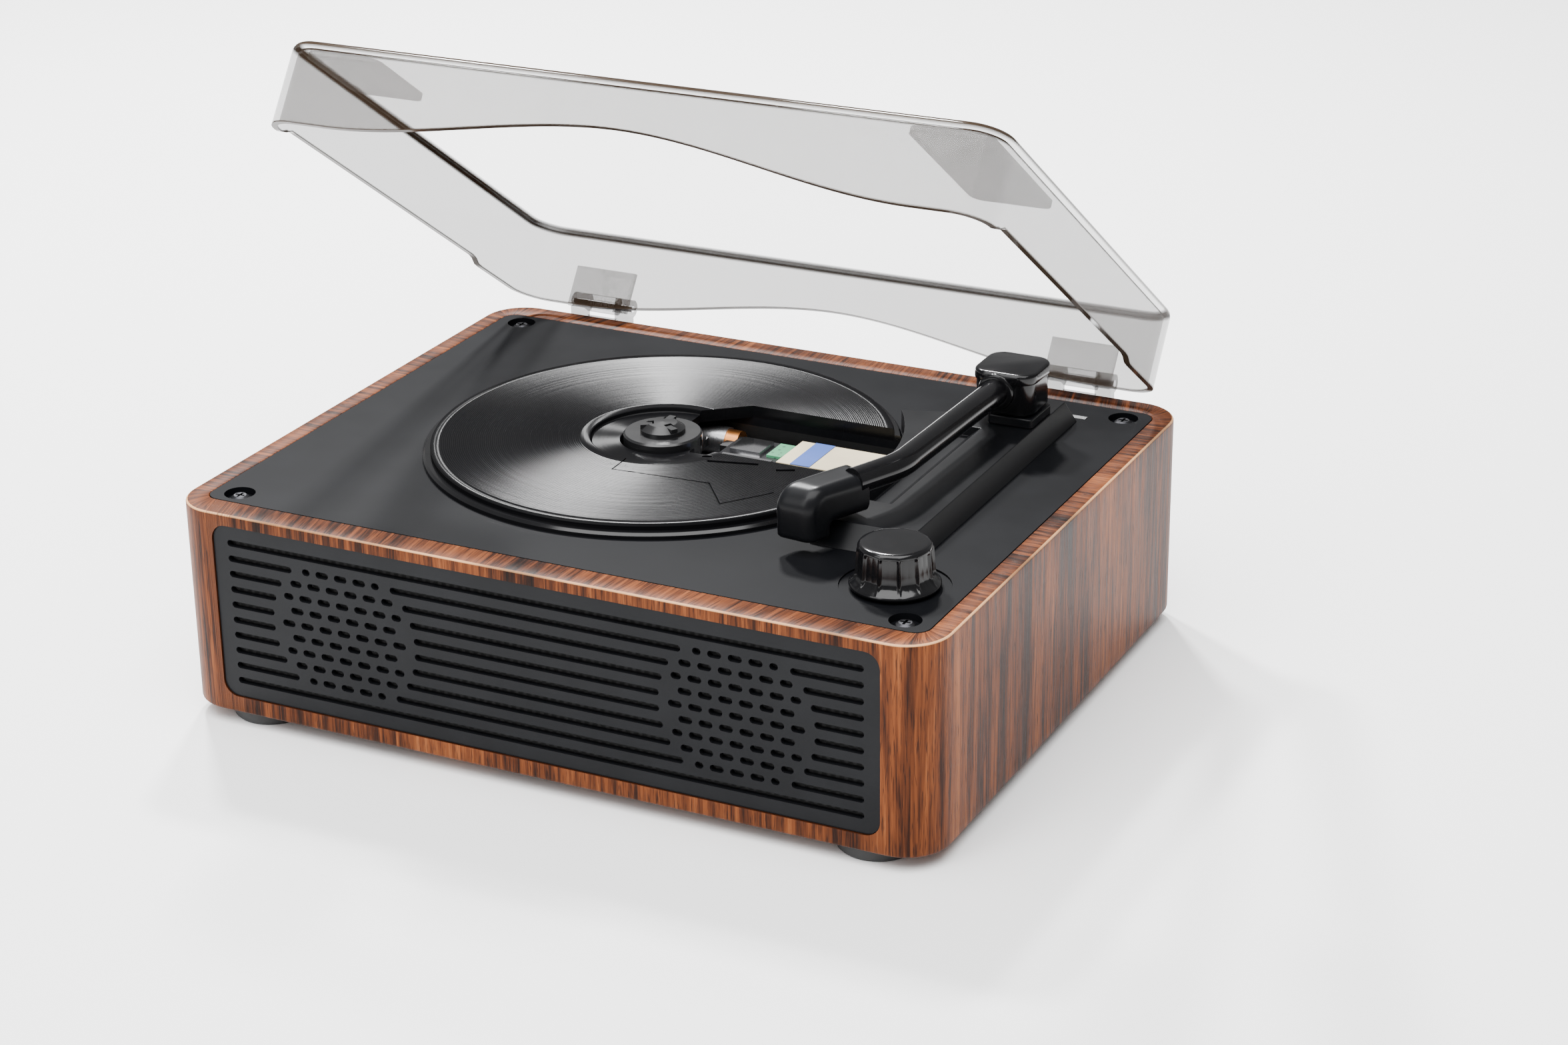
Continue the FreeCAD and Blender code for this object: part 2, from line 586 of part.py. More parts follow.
def make_mechanism():
    """The well, the floating chassis, the spindle and the pickup with its drive."""
    wall = "dim.tray_wall"
    under = top("-dim.deck_thick")
    bottom = top("-dim.deck_thick - dim.tray_depth")
    outside = block(*well(wall), (bottom, under))
    hollow = block(*well(), (f"{bottom} + {wall}", top()))
    chassis_under = top("-dim.chassis_drop - dim.chassis_thick")
    corners = [(x, y) for x in ("dim.tray_left + dim.grommet_x", "dim.window_right - dim.grommet_x")
               for y in ("dim.tray_front + dim.grommet_y", "dim.window_back - dim.grommet_y")]
    seat = f"{bottom} + {wall} + dim.grommet_post"
    posts = [rod("z", at, (bottom, seat), "3") for at in corners]
    node("mechanism_well", fuse(cut(outside, hollow), *posts))
    neck, belly = "2.6", "3.2"
    node("damper_grommets", group(*[turned([("0", seat), (neck, seat), (belly, f"{seat} + 1"),
                                            (belly, f"{chassis_under} - 0.6"), (neck, chassis_under),
                                            ("0", chassis_under)], *at) for at in corners]))
    chassis_top = top("-dim.chassis_drop")
    deck_of_chassis = block(("dim.tray_left + 2", "dim.window_right - 1.5"),
                            ("dim.tray_front + 2", "dim.window_back - 1.2"), (chassis_under, chassis_top))
    travel_slot = block(("dim.sled_left + 4", "dim.window_right - 6"), ("-2", "18"),
                        (f"{chassis_under} - 1", top("-dim.chassis_drop + 1")))
    ends = [("dim.window_left - 2.5", "dim.window_left + 0.5"),
            ("dim.window_right - 2.2", "dim.window_right - 1.5")]
    rods, supports, bores = [], [], []
    upright, half = (chassis_top, top("-dim.rod_drop + 2")), "2.5"
    for y in ("dim.front_rod_y", "dim.back_rod_y"):
        for x in ends:
            supports.append(block(x, (f"{y} - {half}", f"{y} + {half}"), upright))
        at = (y, top("-dim.rod_drop"))
        rods.append(rod("x", at, (ends[0][0], ends[1][1]), "dim.rod_radius"))
        bores.append(rod("x", at, (f"{ends[0][0]} - 1", f"{ends[1][1]} + 1"), "dim.rod_radius"))
    screw_at = ("dim.screw_y", top("-dim.screw_drop"))
    supports.append(block(ends[1], ("dim.screw_y - 2.4", "dim.screw_y + 2.4"), upright))
    bores.append(rod("x", screw_at, ("dim.window_right - 5", "dim.window_right"),
                     "dim.feed_radius + dim.running_gap"))
    node("mechanism_chassis", cut(fuse(cut(deck_of_chassis, travel_slot), *supports), *bores))
    node("guide_rods", group(*rods))
    can, boss, neck = f"{chassis_top} + dim.motor_height", f"{chassis_top} + dim.motor_height + 0.6", "3"
    node("spindle_motor", cut(turned([("0", chassis_top), ("dim.motor_radius", chassis_top),
                                      ("dim.motor_radius", can), (neck, can), (neck, boss), ("0", boss)],
                                     "dim.spindle_x", "dim.spindle_y"),
                              rod("z", ("dim.spindle_x", "dim.spindle_y"),
                                  (f"{chassis_top} + 1", top()), "1 + dim.running_gap")))
    face, shank = "dim.window_left - 4", "0.8"
    node("feed_motor", cut(rod("x", screw_at, (f"{face} - 13", face), "4.8"),
                           rod("x", screw_at, (f"{face} - 12", f"{face} + 4"), f"{shank} + dim.running_gap")))
    node("feed_motor_winding", cut(rod("x", screw_at, (face, "dim.window_left + 0.5"), "4.2"),
                                   rod("x", screw_at, (f"{face} - 1", "dim.window_left + 1"),
                                       "dim.feed_radius + 0.4")))
    node("feed_screw", fuse(rod("x", screw_at, (face, "dim.window_right - 1.6"), "dim.feed_radius"),
                            rod("x", screw_at, (f"{face} - 10", f"{face} + 1"), shank)))


def make_spindle():
    """The hub: a flange on a shaft, a nose that fills the disc's hole, and three clamp jaws."""
    at = ("dim.spindle_x", "dim.spindle_y")
    foot, web, skirt = top("-dim.chassis_drop + 1.5"), top("-4.6"), top("-2.4")
    face = top(f"{LABEL} + dim.hub_step")
    crown = top(f"{LABEL} + dim.hub_crown")
    hub = turned([("0", foot), ("1", foot), ("1", web), ("5", web), ("5", skirt),
                  ("dim.hub_radius - 0.4", skirt),
                  ("dim.hub_radius", f"{skirt} + 0.8"), ("dim.hub_radius", f"{face} - 0.6"),
                  ("dim.hub_radius - 0.6", face), ("dim.nose_radius", face),
                  ("dim.nose_radius", f"{face} + dim.nose_height"),
                  ("dim.nose_radius - 2.6", f"{crown} - 0.3"), ("0", crown)], *at)
    slots, jaws = [], []
    seat, roof = f"{face} + dim.nose_height + 0.2", f"{crown} - 0.4"
    for turn in range(3):
        angle = 90 + 120 * turn
        cosine, sine = math.cos(math.radians(angle)), math.sin(math.radians(angle))
        for gap, reach, made in (("dim.jaw_gap", "dim.nose_radius + 1", slots),
                                 ("0", "dim.nose_radius - 0.1", jaws)):
            root, half = f"(dim.jaw_root - 4 * {gap})", f"(dim.jaw_width / 2 + {gap})"
            jaw = doc.addObject("Part::Box", "Jaw")
            jaw.setExpression("Length", f"({reach}) - {root}")
            jaw.setExpression("Width", f"2 * {half}")
            jaw.setExpression("Height", f"({roof}) - ({seat}) + 8 * {gap} - 0.2")
            jaw.Placement.Rotation = Rotation(Vector(0, 0, 1), angle)
            place(jaw, f"dim.spindle_x + {root} * ({cosine:.6f}) + {half} * ({sine:.6f})",
                  f"dim.spindle_y + {root} * ({sine:.6f}) - {half} * ({cosine:.6f})", f"({seat}) - {gap}")
            made.append(jaw)
    node("spindle_hub", cut(hub, *slots))
    for turn, jaw in enumerate(jaws, start=1):
        node(f"clamp_jaw_{turn}", jaw)


def make_pickup():
    """The sled on its rods, the lens on its holder, and the flat cable over the well."""
    left, right = "dim.sled_left", "dim.sled_left + dim.sled_length"
    y = ("dim.front_rod_y - 3", "dim.screw_y - dim.feed_radius - 0.5")
    deck_of_sled = top("-dim.sled_top")
    body = block((left, right), y, (top("-dim.sled_bottom"), deck_of_sled))
    bores = [rod("x", (rod_y, top("-dim.rod_drop")), (f"{left} - 1", f"{right} + 1"),
                 "dim.rod_radius + dim.running_gap") for rod_y in ("dim.front_rod_y", "dim.back_rod_y")]

    def round_lens(reach, low, high, back="0"):
        """A block round the lens axis, reaching further back if asked."""
        return block((f"dim.lens_x - {reach}", f"dim.lens_x + {reach}"),
                     (f"dim.spindle_y - {reach}", f"dim.spindle_y + {reach} + {back}"), (low, high))

    node("pickup_sled", cut(body, round_lens("4", top("-8"), top("-4")), *bores))
    frame = block(("dim.lens_x - 9", "dim.lens_x + 9"), ("dim.spindle_y - 8", "dim.spindle_y + 9"),
                  (deck_of_sled, f"{deck_of_sled} + 1.7"))
    node("actuator_frame", cut(frame, round_lens("5", f"{deck_of_sled} - 0.6", f"{deck_of_sled} + 2.4")))
    node("lens_holder", round_lens("4.4", top("-dim.lens_drop - 1.6"), top("-dim.lens_drop")))
    node("objective_lens", turned([("0", "0"), ("dim.lens_radius", "0"), ("dim.lens_radius", "0.3"),
                                   ("dim.lens_radius * 0.6", "0.8"), ("0", "1")],
                                  "dim.lens_x", "dim.spindle_y", top("-dim.lens_drop")))
    node("laser_housing", block((f"{left} + 3", f"{left} + 14"), ("17", "28"),
                                (deck_of_sled, f"{deck_of_sled} + 1.5")))
    node("sled_board", block((f"{left} + 16", f"{right} - 1"), ("18", "29"),
                             (deck_of_sled, f"{deck_of_sled} + 0.8")))
    plug, cable = "dim.window_right - 2.5", top("-dim.cable_drop")
    across = ("dim.cable_front", "dim.cable_back")
    node("flex_cable", block((f"{right} - 2.5", plug), across, (f"{cable} - 0.3", cable)))
    node("cable_stiffener", block((f"{right} + 2.5", f"{right} + 9.5"), across, (cable, f"{cable} + 0.2")))
    node("cable_connector", block((plug, "dim.window_right"), ("dim.cable_front - 1", "dim.cable_back + 1"),
                                  (f"{cable} - 1.5", f"{cable} + 1")))


# ---- arm -----------------------------------------------------------------------------

def platform_outline(body, points, height):
    """The arm platform's outline at one height: straight edges and an arc beside the cover."""
    drawn = sketch_on(body)
    drawn.setExpression("AttachmentOffset.Base.z", height)
    radius = f"{RIM} + dim.platform_gap"
    centre = Vector(number("dim.spindle_x"), number("dim.spindle_y"), 0)
    reach = number(radius)
    spots = []
    for x, y in points:
        along = number(y)
        across = number(x) if x else centre.x + math.sqrt(reach ** 2 - (along - centre.y) ** 2)
        spots.append(Vector(across, along, 0))
    last = len(points) - 1
    for i in range(last):
        drawn.addGeometry(Part.LineSegment(spots[i], spots[i + 1]))
    angles = [math.atan2(spot.y - centre.y, spot.x - centre.x) for spot in (spots[last], spots[0])]
    drawn.addGeometry(Part.ArcOfCircle(Part.Circle(centre, Vector(0, 0, 1), reach), *angles))
    for i in range(last - 1):
        tie(drawn, "Coincident", i, 2, i + 1, 1)
    tie(drawn, "Coincident", last - 1, 2, last, 1)
    tie(drawn, "Coincident", last, 2, 0, 1)
    fix(drawn, "Radius", last, text=radius)
    fix(drawn, "DistanceX", -1, 1, last, 3, text="dim.spindle_x")
    fix(drawn, "DistanceY", -1, 1, last, 3, text="dim.spindle_y")
    for i, (x, y) in enumerate(points):
        edge, end = (i, 1) if i < last else (last - 1, 2)
        if x:
            fix(drawn, "DistanceX", -1, 1, edge, end, text=x)
        fix(drawn, "DistanceY", -1, 1, edge, end, text=y)
    return drawn


def make_platform():
    """The sloped arm platform with its trough, the pedestal on it and the pivot's bush."""
    right, front, back, slope = ("dim.platform_right", "dim.platform_front", "dim.platform_back",
                                 "dim.platform_slope")
    body = body_at(z=top())
    low = platform_outline(body, [("", "48"), ("68", "53"), ("73", back), (right, back), (right, front),
                                  ("66.5", front), ("", "-16")], "0")
    high = platform_outline(body, [("", "47.4"), ("68.6", "52.4"), ("73.6", f"{back} - 0.6"),
                                   (f"{right} - {slope}", f"{back} - {slope}"),
                                   (f"{right} - {slope}", f"{front} + 1.4 * {slope}"),
                                   (f"66.5 + 1.6 * {slope}", f"{front} + 1.4 * {slope}"), ("", "-16")],
                            "dim.platform_height")
    loft = body.newObject("PartDesign::AdditiveLoft", "Sloped")
    loft.Profile = low
    loft.Sections = [high]
    loft.Ruled = True
    body.Tip = loft
    trough = body_at(y="dim.pivot_y - dim.pivot_depth / 2 - 4", z=top())
    section = sketch_on(trough, "XZ_Plane")
    deep, over = "dim.platform_height - dim.trough_depth", "dim.platform_height + 1"
    polygon(section, [("dim.trough_left", over), ("dim.trough_left + 1", deep),
                      ("dim.trough_left + 1 + dim.trough_floor", deep), ("dim.trough_right", over)])
    pad(trough, section, "dim.trough_length")
    shaft = ("dim.pivot_x", "dim.pivot_y")
    bush_top = top("dim.pivot_bottom - 0.6")
    outside, through = "dim.shaft_radius + dim.bush_wall", (top("-1"), top("dim.pivot_top"))
    node("arm_platform", cut(body, trough, rod("z", shaft, through, outside)))
    pedestal = plate(("dim.pivot_x - 5", "dim.pivot_x + dim.pivot_width / 2"),
                     ("dim.pivot_y - dim.pivot_depth / 2 + 1", "dim.pivot_y + 8"),
                     (top("dim.platform_height"), bush_top), "1.5")
    node("arm_pedestal", cut(pedestal, rod("z", shaft, through, outside)))
    node("pivot_bush", cut(rod("z", shaft, (top(), bush_top), outside),
                           rod("z", shaft, through, "dim.shaft_radius + dim.running_gap")))


def make_arm():
    """The swinging arm: pivot block and shaft, bent tube and head."""
    shaft = ("dim.pivot_x", "dim.pivot_y")
    half_x, half_y = "dim.pivot_width / 2", "dim.pivot_depth / 2"
    tube_x, tube_end = "dim.pivot_x - 1.6", "dim.pivot_y - dim.pivot_depth / 2 + 5"
    tube = body_at(z=top("dim.arm_rise"))
    path = sketch_on(tube)
    route = [(tube_x, tube_end), ("84.9", "-24"), ("77.4", "-41.5")]
    start, corner, end = (Vector(number(x), number(y), 0) for x, y in route)
    into, away = (corner - start).normalize(), (end - corner).normalize()
    half_turn = into.getAngle(away) / 2
    bend = 30      # radius of the tube's bend
    first = corner - into * bend * math.tan(half_turn)
    second = corner + away * bend * math.tan(half_turn)
    side = Vector(into.y, -into.x, 0)
    centre = first + side * bend
    path.addGeometry(Part.LineSegment(start, first))
    angles = [math.atan2(spot.y - centre.y, spot.x - centre.x) for spot in (second, first)]
    path.addGeometry(Part.ArcOfCircle(Part.Circle(centre, Vector(0, 0, 1), bend), *angles))
    path.addGeometry(Part.LineSegment(second, end))
    tie(path, "Tangent", 0, 2, 1, 2)
    tie(path, "Tangent", 1, 1, 2, 1)
    fix(path, "Radius", 1, text=str(bend))
    for edge, corner_end, (x, y) in ((0, 1, route[0]), (2, 2, route[2])):
        fix(path, "DistanceX", -1, 1, edge, corner_end, text=x)
        fix(path, "DistanceY", -1, 1, edge, corner_end, text=y)
    section = sketch_on(tube, "XZ_Plane")
    section.setExpression("AttachmentOffset.Base.z", f"-({tube_end})")
    section.addGeometry(Part.Circle(Vector(start.x, 0, 0), Vector(0, 0, 1), number("dim.arm_radius")))
    fix(section, "Radius", 0, text="dim.arm_radius")
    fix(section, "DistanceX", -1, 1, 0, 3, text=tube_x)
    tie(section, "PointOnObject", 0, 3, -1)
    pipe = tube.newObject("PartDesign::AdditivePipe", "Tube")
    pipe.Profile = section
    pipe.Spine = (path, ["Edge1", "Edge2", "Edge3"])
    tube.Tip = pipe
    node("arm_tube", tube)
    turret = plate((f"dim.pivot_x - {half_x}", f"dim.pivot_x + {half_x}"),
                   (f"dim.pivot_y - {half_y}", f"dim.pivot_y + {half_y}"),
                   (top("dim.pivot_bottom"), top("dim.pivot_top")), "2.5")
    shaft_top, shaft_foot = top("dim.pivot_bottom + dim.shaft_seat"), top("-dim.shaft_foot")
    node("pivot_block", cut(turret, tube, rod("z", shaft, (top("0"), shaft_top), "dim.shaft_radius")))
    node("pivot_shaft", rod("z", shaft, (shaft_foot, shaft_top), "dim.shaft_radius"))
    node("shaft_clip", cut(rod("z", shaft, (top("-dim.deck_thick - 3"), top("-dim.deck_thick - 2")),
                               "dim.shaft_radius + 1.8"),
                           rod("z", shaft, (shaft_foot, top()), "dim.shaft_radius")))
    nose_left, nose_right = ("60.3", "-61"), ("71.3", "-61")
    bend_right, bend_left = ("72.3", "-55"), ("61.2", "-53")
    body = prism([nose_left, nose_right, bend_right, ("80.7", "-39.7"), ("71.7", "-35.2"), bend_left],
                 (top("dim.head_rise"), top("dim.head_top")))
    tip = prism([nose_left, nose_right, bend_right, bend_left],
                (top("dim.cover_height + dim.arm_hover"), top("dim.head_rise")))
    node("arm_head", cut(fuse(body, tip), tube))


def make_knob():
    """The fluted knob, the shaft it sits on and the potentiometer under the deck."""
    at = ("dim.knob_x", "dim.knob_y")
    foot = "-dim.ring_depth + dim.knob_lift"
    crown = f"{foot} + dim.knob_height"
    knob = turned([("0", top(foot)), ("dim.knob_radius", top(foot)), ("dim.knob_radius", top(f"{foot} + 1.2")),
                   ("dim.knob_radius - 1.6", top(f"{foot} + 2.6")),
                   ("dim.knob_top_radius + 0.6", top(f"{foot} + 5")),
                   ("dim.knob_top_radius", top(f"{crown} - 1")),
                   ("dim.knob_top_radius - 1", top(crown)), ("0", top(crown))], *at)
    flutes = []
    for turn in range(12):
        angle = math.radians(30 * turn)
        ring = "(dim.knob_top_radius + 1.9)"
        flutes.append(rod("z", (f"dim.knob_x + {ring} * ({math.cos(angle):.6f})",
                                f"dim.knob_y + {ring} * ({math.sin(angle):.6f})"),
                          (top(f"{foot} + 2.8"), top(f"{crown} - 1.6")), "2.3"))
    stem_top, stem_foot = top(f"{foot} + dim.stem_seat"), top("-dim.stem_foot")
    node("volume_knob", cut(knob, *flutes, rod("z", at, (top(f"{foot} - 1"), stem_top), "dim.stem_radius")))
    node("volume_shaft", rod("z", at, (stem_foot, stem_top), "dim.stem_radius"))
    housing = block(("dim.knob_x - 8", "dim.knob_x + 8"), ("dim.knob_y - 8", "dim.knob_y + 8"),
                    (f"{stem_foot} - 2", top("-dim.deck_thick - 3")))
    neck = rod("z", at, (top("-dim.deck_thick - 3.5"), top("-dim.ring_depth")), "dim.stem_radius + 0.9")
    node("volume_potentiometer", cut(fuse(housing, neck), rod("z", at, (f"{stem_foot} - 0.2", top("1")),
                                                              "dim.stem_radius + dim.running_gap")))


# ---- front grille and loudspeakers ----------------------------------------------------

def stadium(x, z, length, height):
    """A flat slot with round ends, as a wire in the plane of the grille."""
    half, r = max(length / 2 - height / 2, 0.01), height / 2
    ends = [Vector(x - half, 0, z - r), Vector(x + half, 0, z - r), Vector(x + half + r, 0, z),
            Vector(x + half, 0, z + r), Vector(x - half, 0, z + r), Vector(x - half - r, 0, z)]
    return Part.Wire([Part.LineSegment(ends[0], ends[1]).toShape(),
                      Part.Arc(ends[1], ends[2], ends[3]).toShape(),
                      Part.LineSegment(ends[3], ends[4]).toShape(),
                      Part.Arc(ends[4], ends[5], ends[0]).toShape()])


def slot_wires():
    """Long slots in rows, stopped at two round patterns of short staggered slots."""
    middle = number(GRILLE) / 2
    end = size("grille_width") / 2 - size("slot_margin")
    height, rows = size("slot_height"), int(size("slot_rows"))
    pitch = (2 * middle - height - 2 * size("slot_edge")) / (rows - 1)
    radius, speaker = middle - size("pattern_edge"), size("speaker_x")
    wires = []
    for row in range(rows):
        rise = (row - (rows - 1) / 2) * pitch
        stops = [(-end, end)]
        if row not in (0, rows - 1):
            keep = math.sqrt((radius + 2.4) ** 2 - rise ** 2)
            stops = [(-end, -speaker - keep), (-speaker + keep, speaker - keep), (speaker + keep, end)]
        wires += [stadium((a + b) / 2, middle + rise, b - a, height) for a, b in stops if b - a > 2 * height]
    short, gap, ranks, least = size("short_slot"), size("short_gap"), 4, 1.9
    rank = radius / (ranks + 1)
    for centre in (-speaker, speaker):
        for row in range(-ranks, ranks + 1):
            rise = row * rank
            chord = math.sqrt(radius ** 2 - rise ** 2)
            start = -(short + gap) * ranks + (short + gap) / 2 * (row % 2)
            for step in range(2 * ranks + 1):
                low = max(start + step * (short + gap) - short / 2, -chord)
                high = min(low + short, chord) if low > -chord else start + step * (short + gap) + short / 2
                if high - low > least:
                    wires.append(stadium(centre + (low + high) / 2, middle + rise, high - low, height))
    return wires


def make_front():
    """The slotted grille, the cloth behind it and the two loudspeakers."""
    thick = "dim.grille_inset + dim.grille_thick"
    outline = upright_plate("0", thick)
    doc.recompute()
    plate_shape = outline.Shape.copy()
    face_y = number(f"dim.middle_y - ({BACK})")
    solids = []
    for wire in slot_wires():
        slot = Part.Face(wire).extrude(Vector(0, 12, 0))
        slot.translate(Vector(0, face_y - 2, number(case("dim.grille_rise"))))
        solids.append(slot)
    front_face = Part.makeBox(400, size("grille_inset") + 1, 100, Vector(-200, face_y - 1, 0))
    grille = doc.addObject("Part::Feature", "Grille")
    grille.Shape = plate_shape.cut(solids + [front_face])
    node("front_grille", grille)
    whole = upright_plate("0", f"{thick} + dim.cloth_thick")
    shallow = block(span("dim.grille_width"), (f"-({BACK}) - 2", f"-({BACK}) + {thick}"),
                    (case("-1"), top("1")))
    node("grille_cloth", cut(whole, shallow))
    wall = f"-({BACK} - dim.case_wall)"
    flange = f"{SOUND_HOLE} + dim.basket_flange"
    sets = {
        "speaker_baskets": [(f"{SOUND_HOLE} + 0.2", "0"), (flange, "0"), (flange, "2"),
                            (f"{flange} - 2.5", "2"),
                            ("13", "14"), ("13", "15.5"), ("8", "15.5"), ("8", "14"), ("11.5", "14"),
                            (f"{SOUND_HOLE} + 0.2", "2")],
        "speaker_cones": [(f"{SOUND_HOLE} + 0.1", "0.4"), (f"{SOUND_HOLE} - 2.5", "0.9"), ("7.5", "8.2"),
                          ("0", "6.2"), ("0", "6.9"), ("7.2", "9"), (f"{SOUND_HOLE} - 2.8", "1.8"),
                          (f"{SOUND_HOLE} + 0.1", "1.1")],
        "speaker_magnets": [("0", "10"), ("4", "10"), ("4", "15.5"), ("15", "15.5"), ("15", "23.5"),
                            ("0", "23.5")],
    }
    for name, profile in sets.items():
        pair = []
        for side in ("-", ""):
            body = turned(profile, f"{side}dim.speaker_x", wall, speaker_z())
            body.Placement = Placement(body.Placement.Base, TURN["y"])
            pair.append(body)
        node(name, group(*pair))


# ---- electronics and rear sockets -----------------------------------------------------

def make_electronics():
    """The main board on its posts, the parts soldered on it, and the rear socket panel."""
    x, y = ("dim.board_left", "dim.board_right"), ("dim.board_front", "dim.board_back")
    under = case("dim.board_thick + dim.post_height")
    above = f"({under} + dim.circuit_thick)"
    posts = board_post_places()
    drill = [rod("z", at, (under, above), "1.2") for at in posts]
    node("main_board", cut(block(x, y, (under, above)), *drill))
    head, shank, crown = "2.4", "1.2", f"{above} + 1.4"
    node("board_screws", group(*[turned([("0", under), (shank, under), (shank, above), (head, above),
                                         (head, crown), ("0", crown)], *at) for at in posts]))
    cans = [turned([("0", above), (r, above), (r, f"{above} + {tall}"), ("0", f"{above} + {tall}")], a, b)
            for a, b, r, tall in (("-66", "30", "4", "12"), ("-54", "30", "4", "12"), ("-40", "62", "2.5", "7"),
                                  ("-30", "62", "2.5", "7"))]
    sink = cut(block(("-66", "-42"), ("42", "54"), (above, f"{above} + 12")),
               *[block((f"-64 + {3 * i}", f"-62.4 + {3 * i}"), ("40", "56"), (f"{above} + 3", f"{above} + 13"))
                 for i in range(7)])
    chips = [block(("-36", "-22"), ("34", "48"), (above, f"{above} + 1.6")),
             block(("-20", "-8"), ("52", "60"), (above, f"{above} + 2")),
             block(("-18", "-6"), ("14", "20"), (above, f"{above} + 6"))]
    node("amplifier_heatsink", sink)
    node("board_components", group(*cans, *chips))
    low, high = case("dim.panel_rise"), case("dim.panel_rise + dim.panel_height")
    middle = case("dim.panel_rise + dim.panel_height / 2")
    inside = f"{BACK} - dim.panel_thick"
    panel = block(span("dim.panel_width / 2"), (inside, BACK), (low, high))
    power, audio = ("-dim.socket_x", middle), ("dim.socket_x", middle)
    reach = (f"{BACK} - 3", f"{BACK} + 1")
    node("rear_panel", cut(panel, rod("y", power, reach, "dim.power_outside + dim.fit_gap / 3"),
                           rod("y", audio, reach, "dim.audio_outside + dim.fit_gap / 3")))
    inlet = fuse(rod("y", power, (f"{BACK} - 13", f"{BACK} - 0.4"), "dim.power_outside"),
                 block(("-dim.socket_x - 6", "-dim.socket_x + 6"), (f"{BACK} - 14", inside),
                       (f"{middle} - 6", f"{middle} + 6")))
    bore = cut(rod("y", power, (f"{BACK} - 11", f"{BACK} + 1"), "dim.power_radius"),
               rod("y", power, (f"{BACK} - 12", f"{BACK} - 2"), "1"))
    node("power_inlet", cut(inlet, bore))
    jack = fuse(rod("y", audio, (f"{BACK} - 13", f"{BACK} + 0.6"), "dim.audio_outside"),
                block(("dim.socket_x - 5", "dim.socket_x + 5"), (f"{BACK} - 16", inside),
                      (f"{middle} - 5", f"{middle} + 5")))
    node("audio_socket", cut(jack, rod("y", audio, (f"{BACK} - 14", f"{BACK} + 2"), "dim.audio_radius")))


# ---- lid -----------------------------------------------------------------------------

HINGE_Y = f"({BACK} + dim.hinge_back)"
HINGE_Z = f"({top('dim.hinge_rise')})"


def opened(part):
    """Turn a piece of the closed lid up about the hinge axis."""
    part.Placement = Placement(Vector(), Rotation(Vector(-1, 0, 0), size("lid_open")))
    part.setExpression("Placement.Rotation.Angle", "dim.lid_open")
    along, turn = f"(dim.middle_y + {HINGE_Y})", "dim.lid_open * 1 deg"
    part.setExpression("Placement.Base.y", f"{along} - ({along} * cos({turn}) + {HINGE_Z} * sin({turn}))")
    part.setExpression("Placement.Base.z", f"{HINGE_Z} - ({HINGE_Z} * cos({turn}) - {along} * sin({turn}))")
    return part


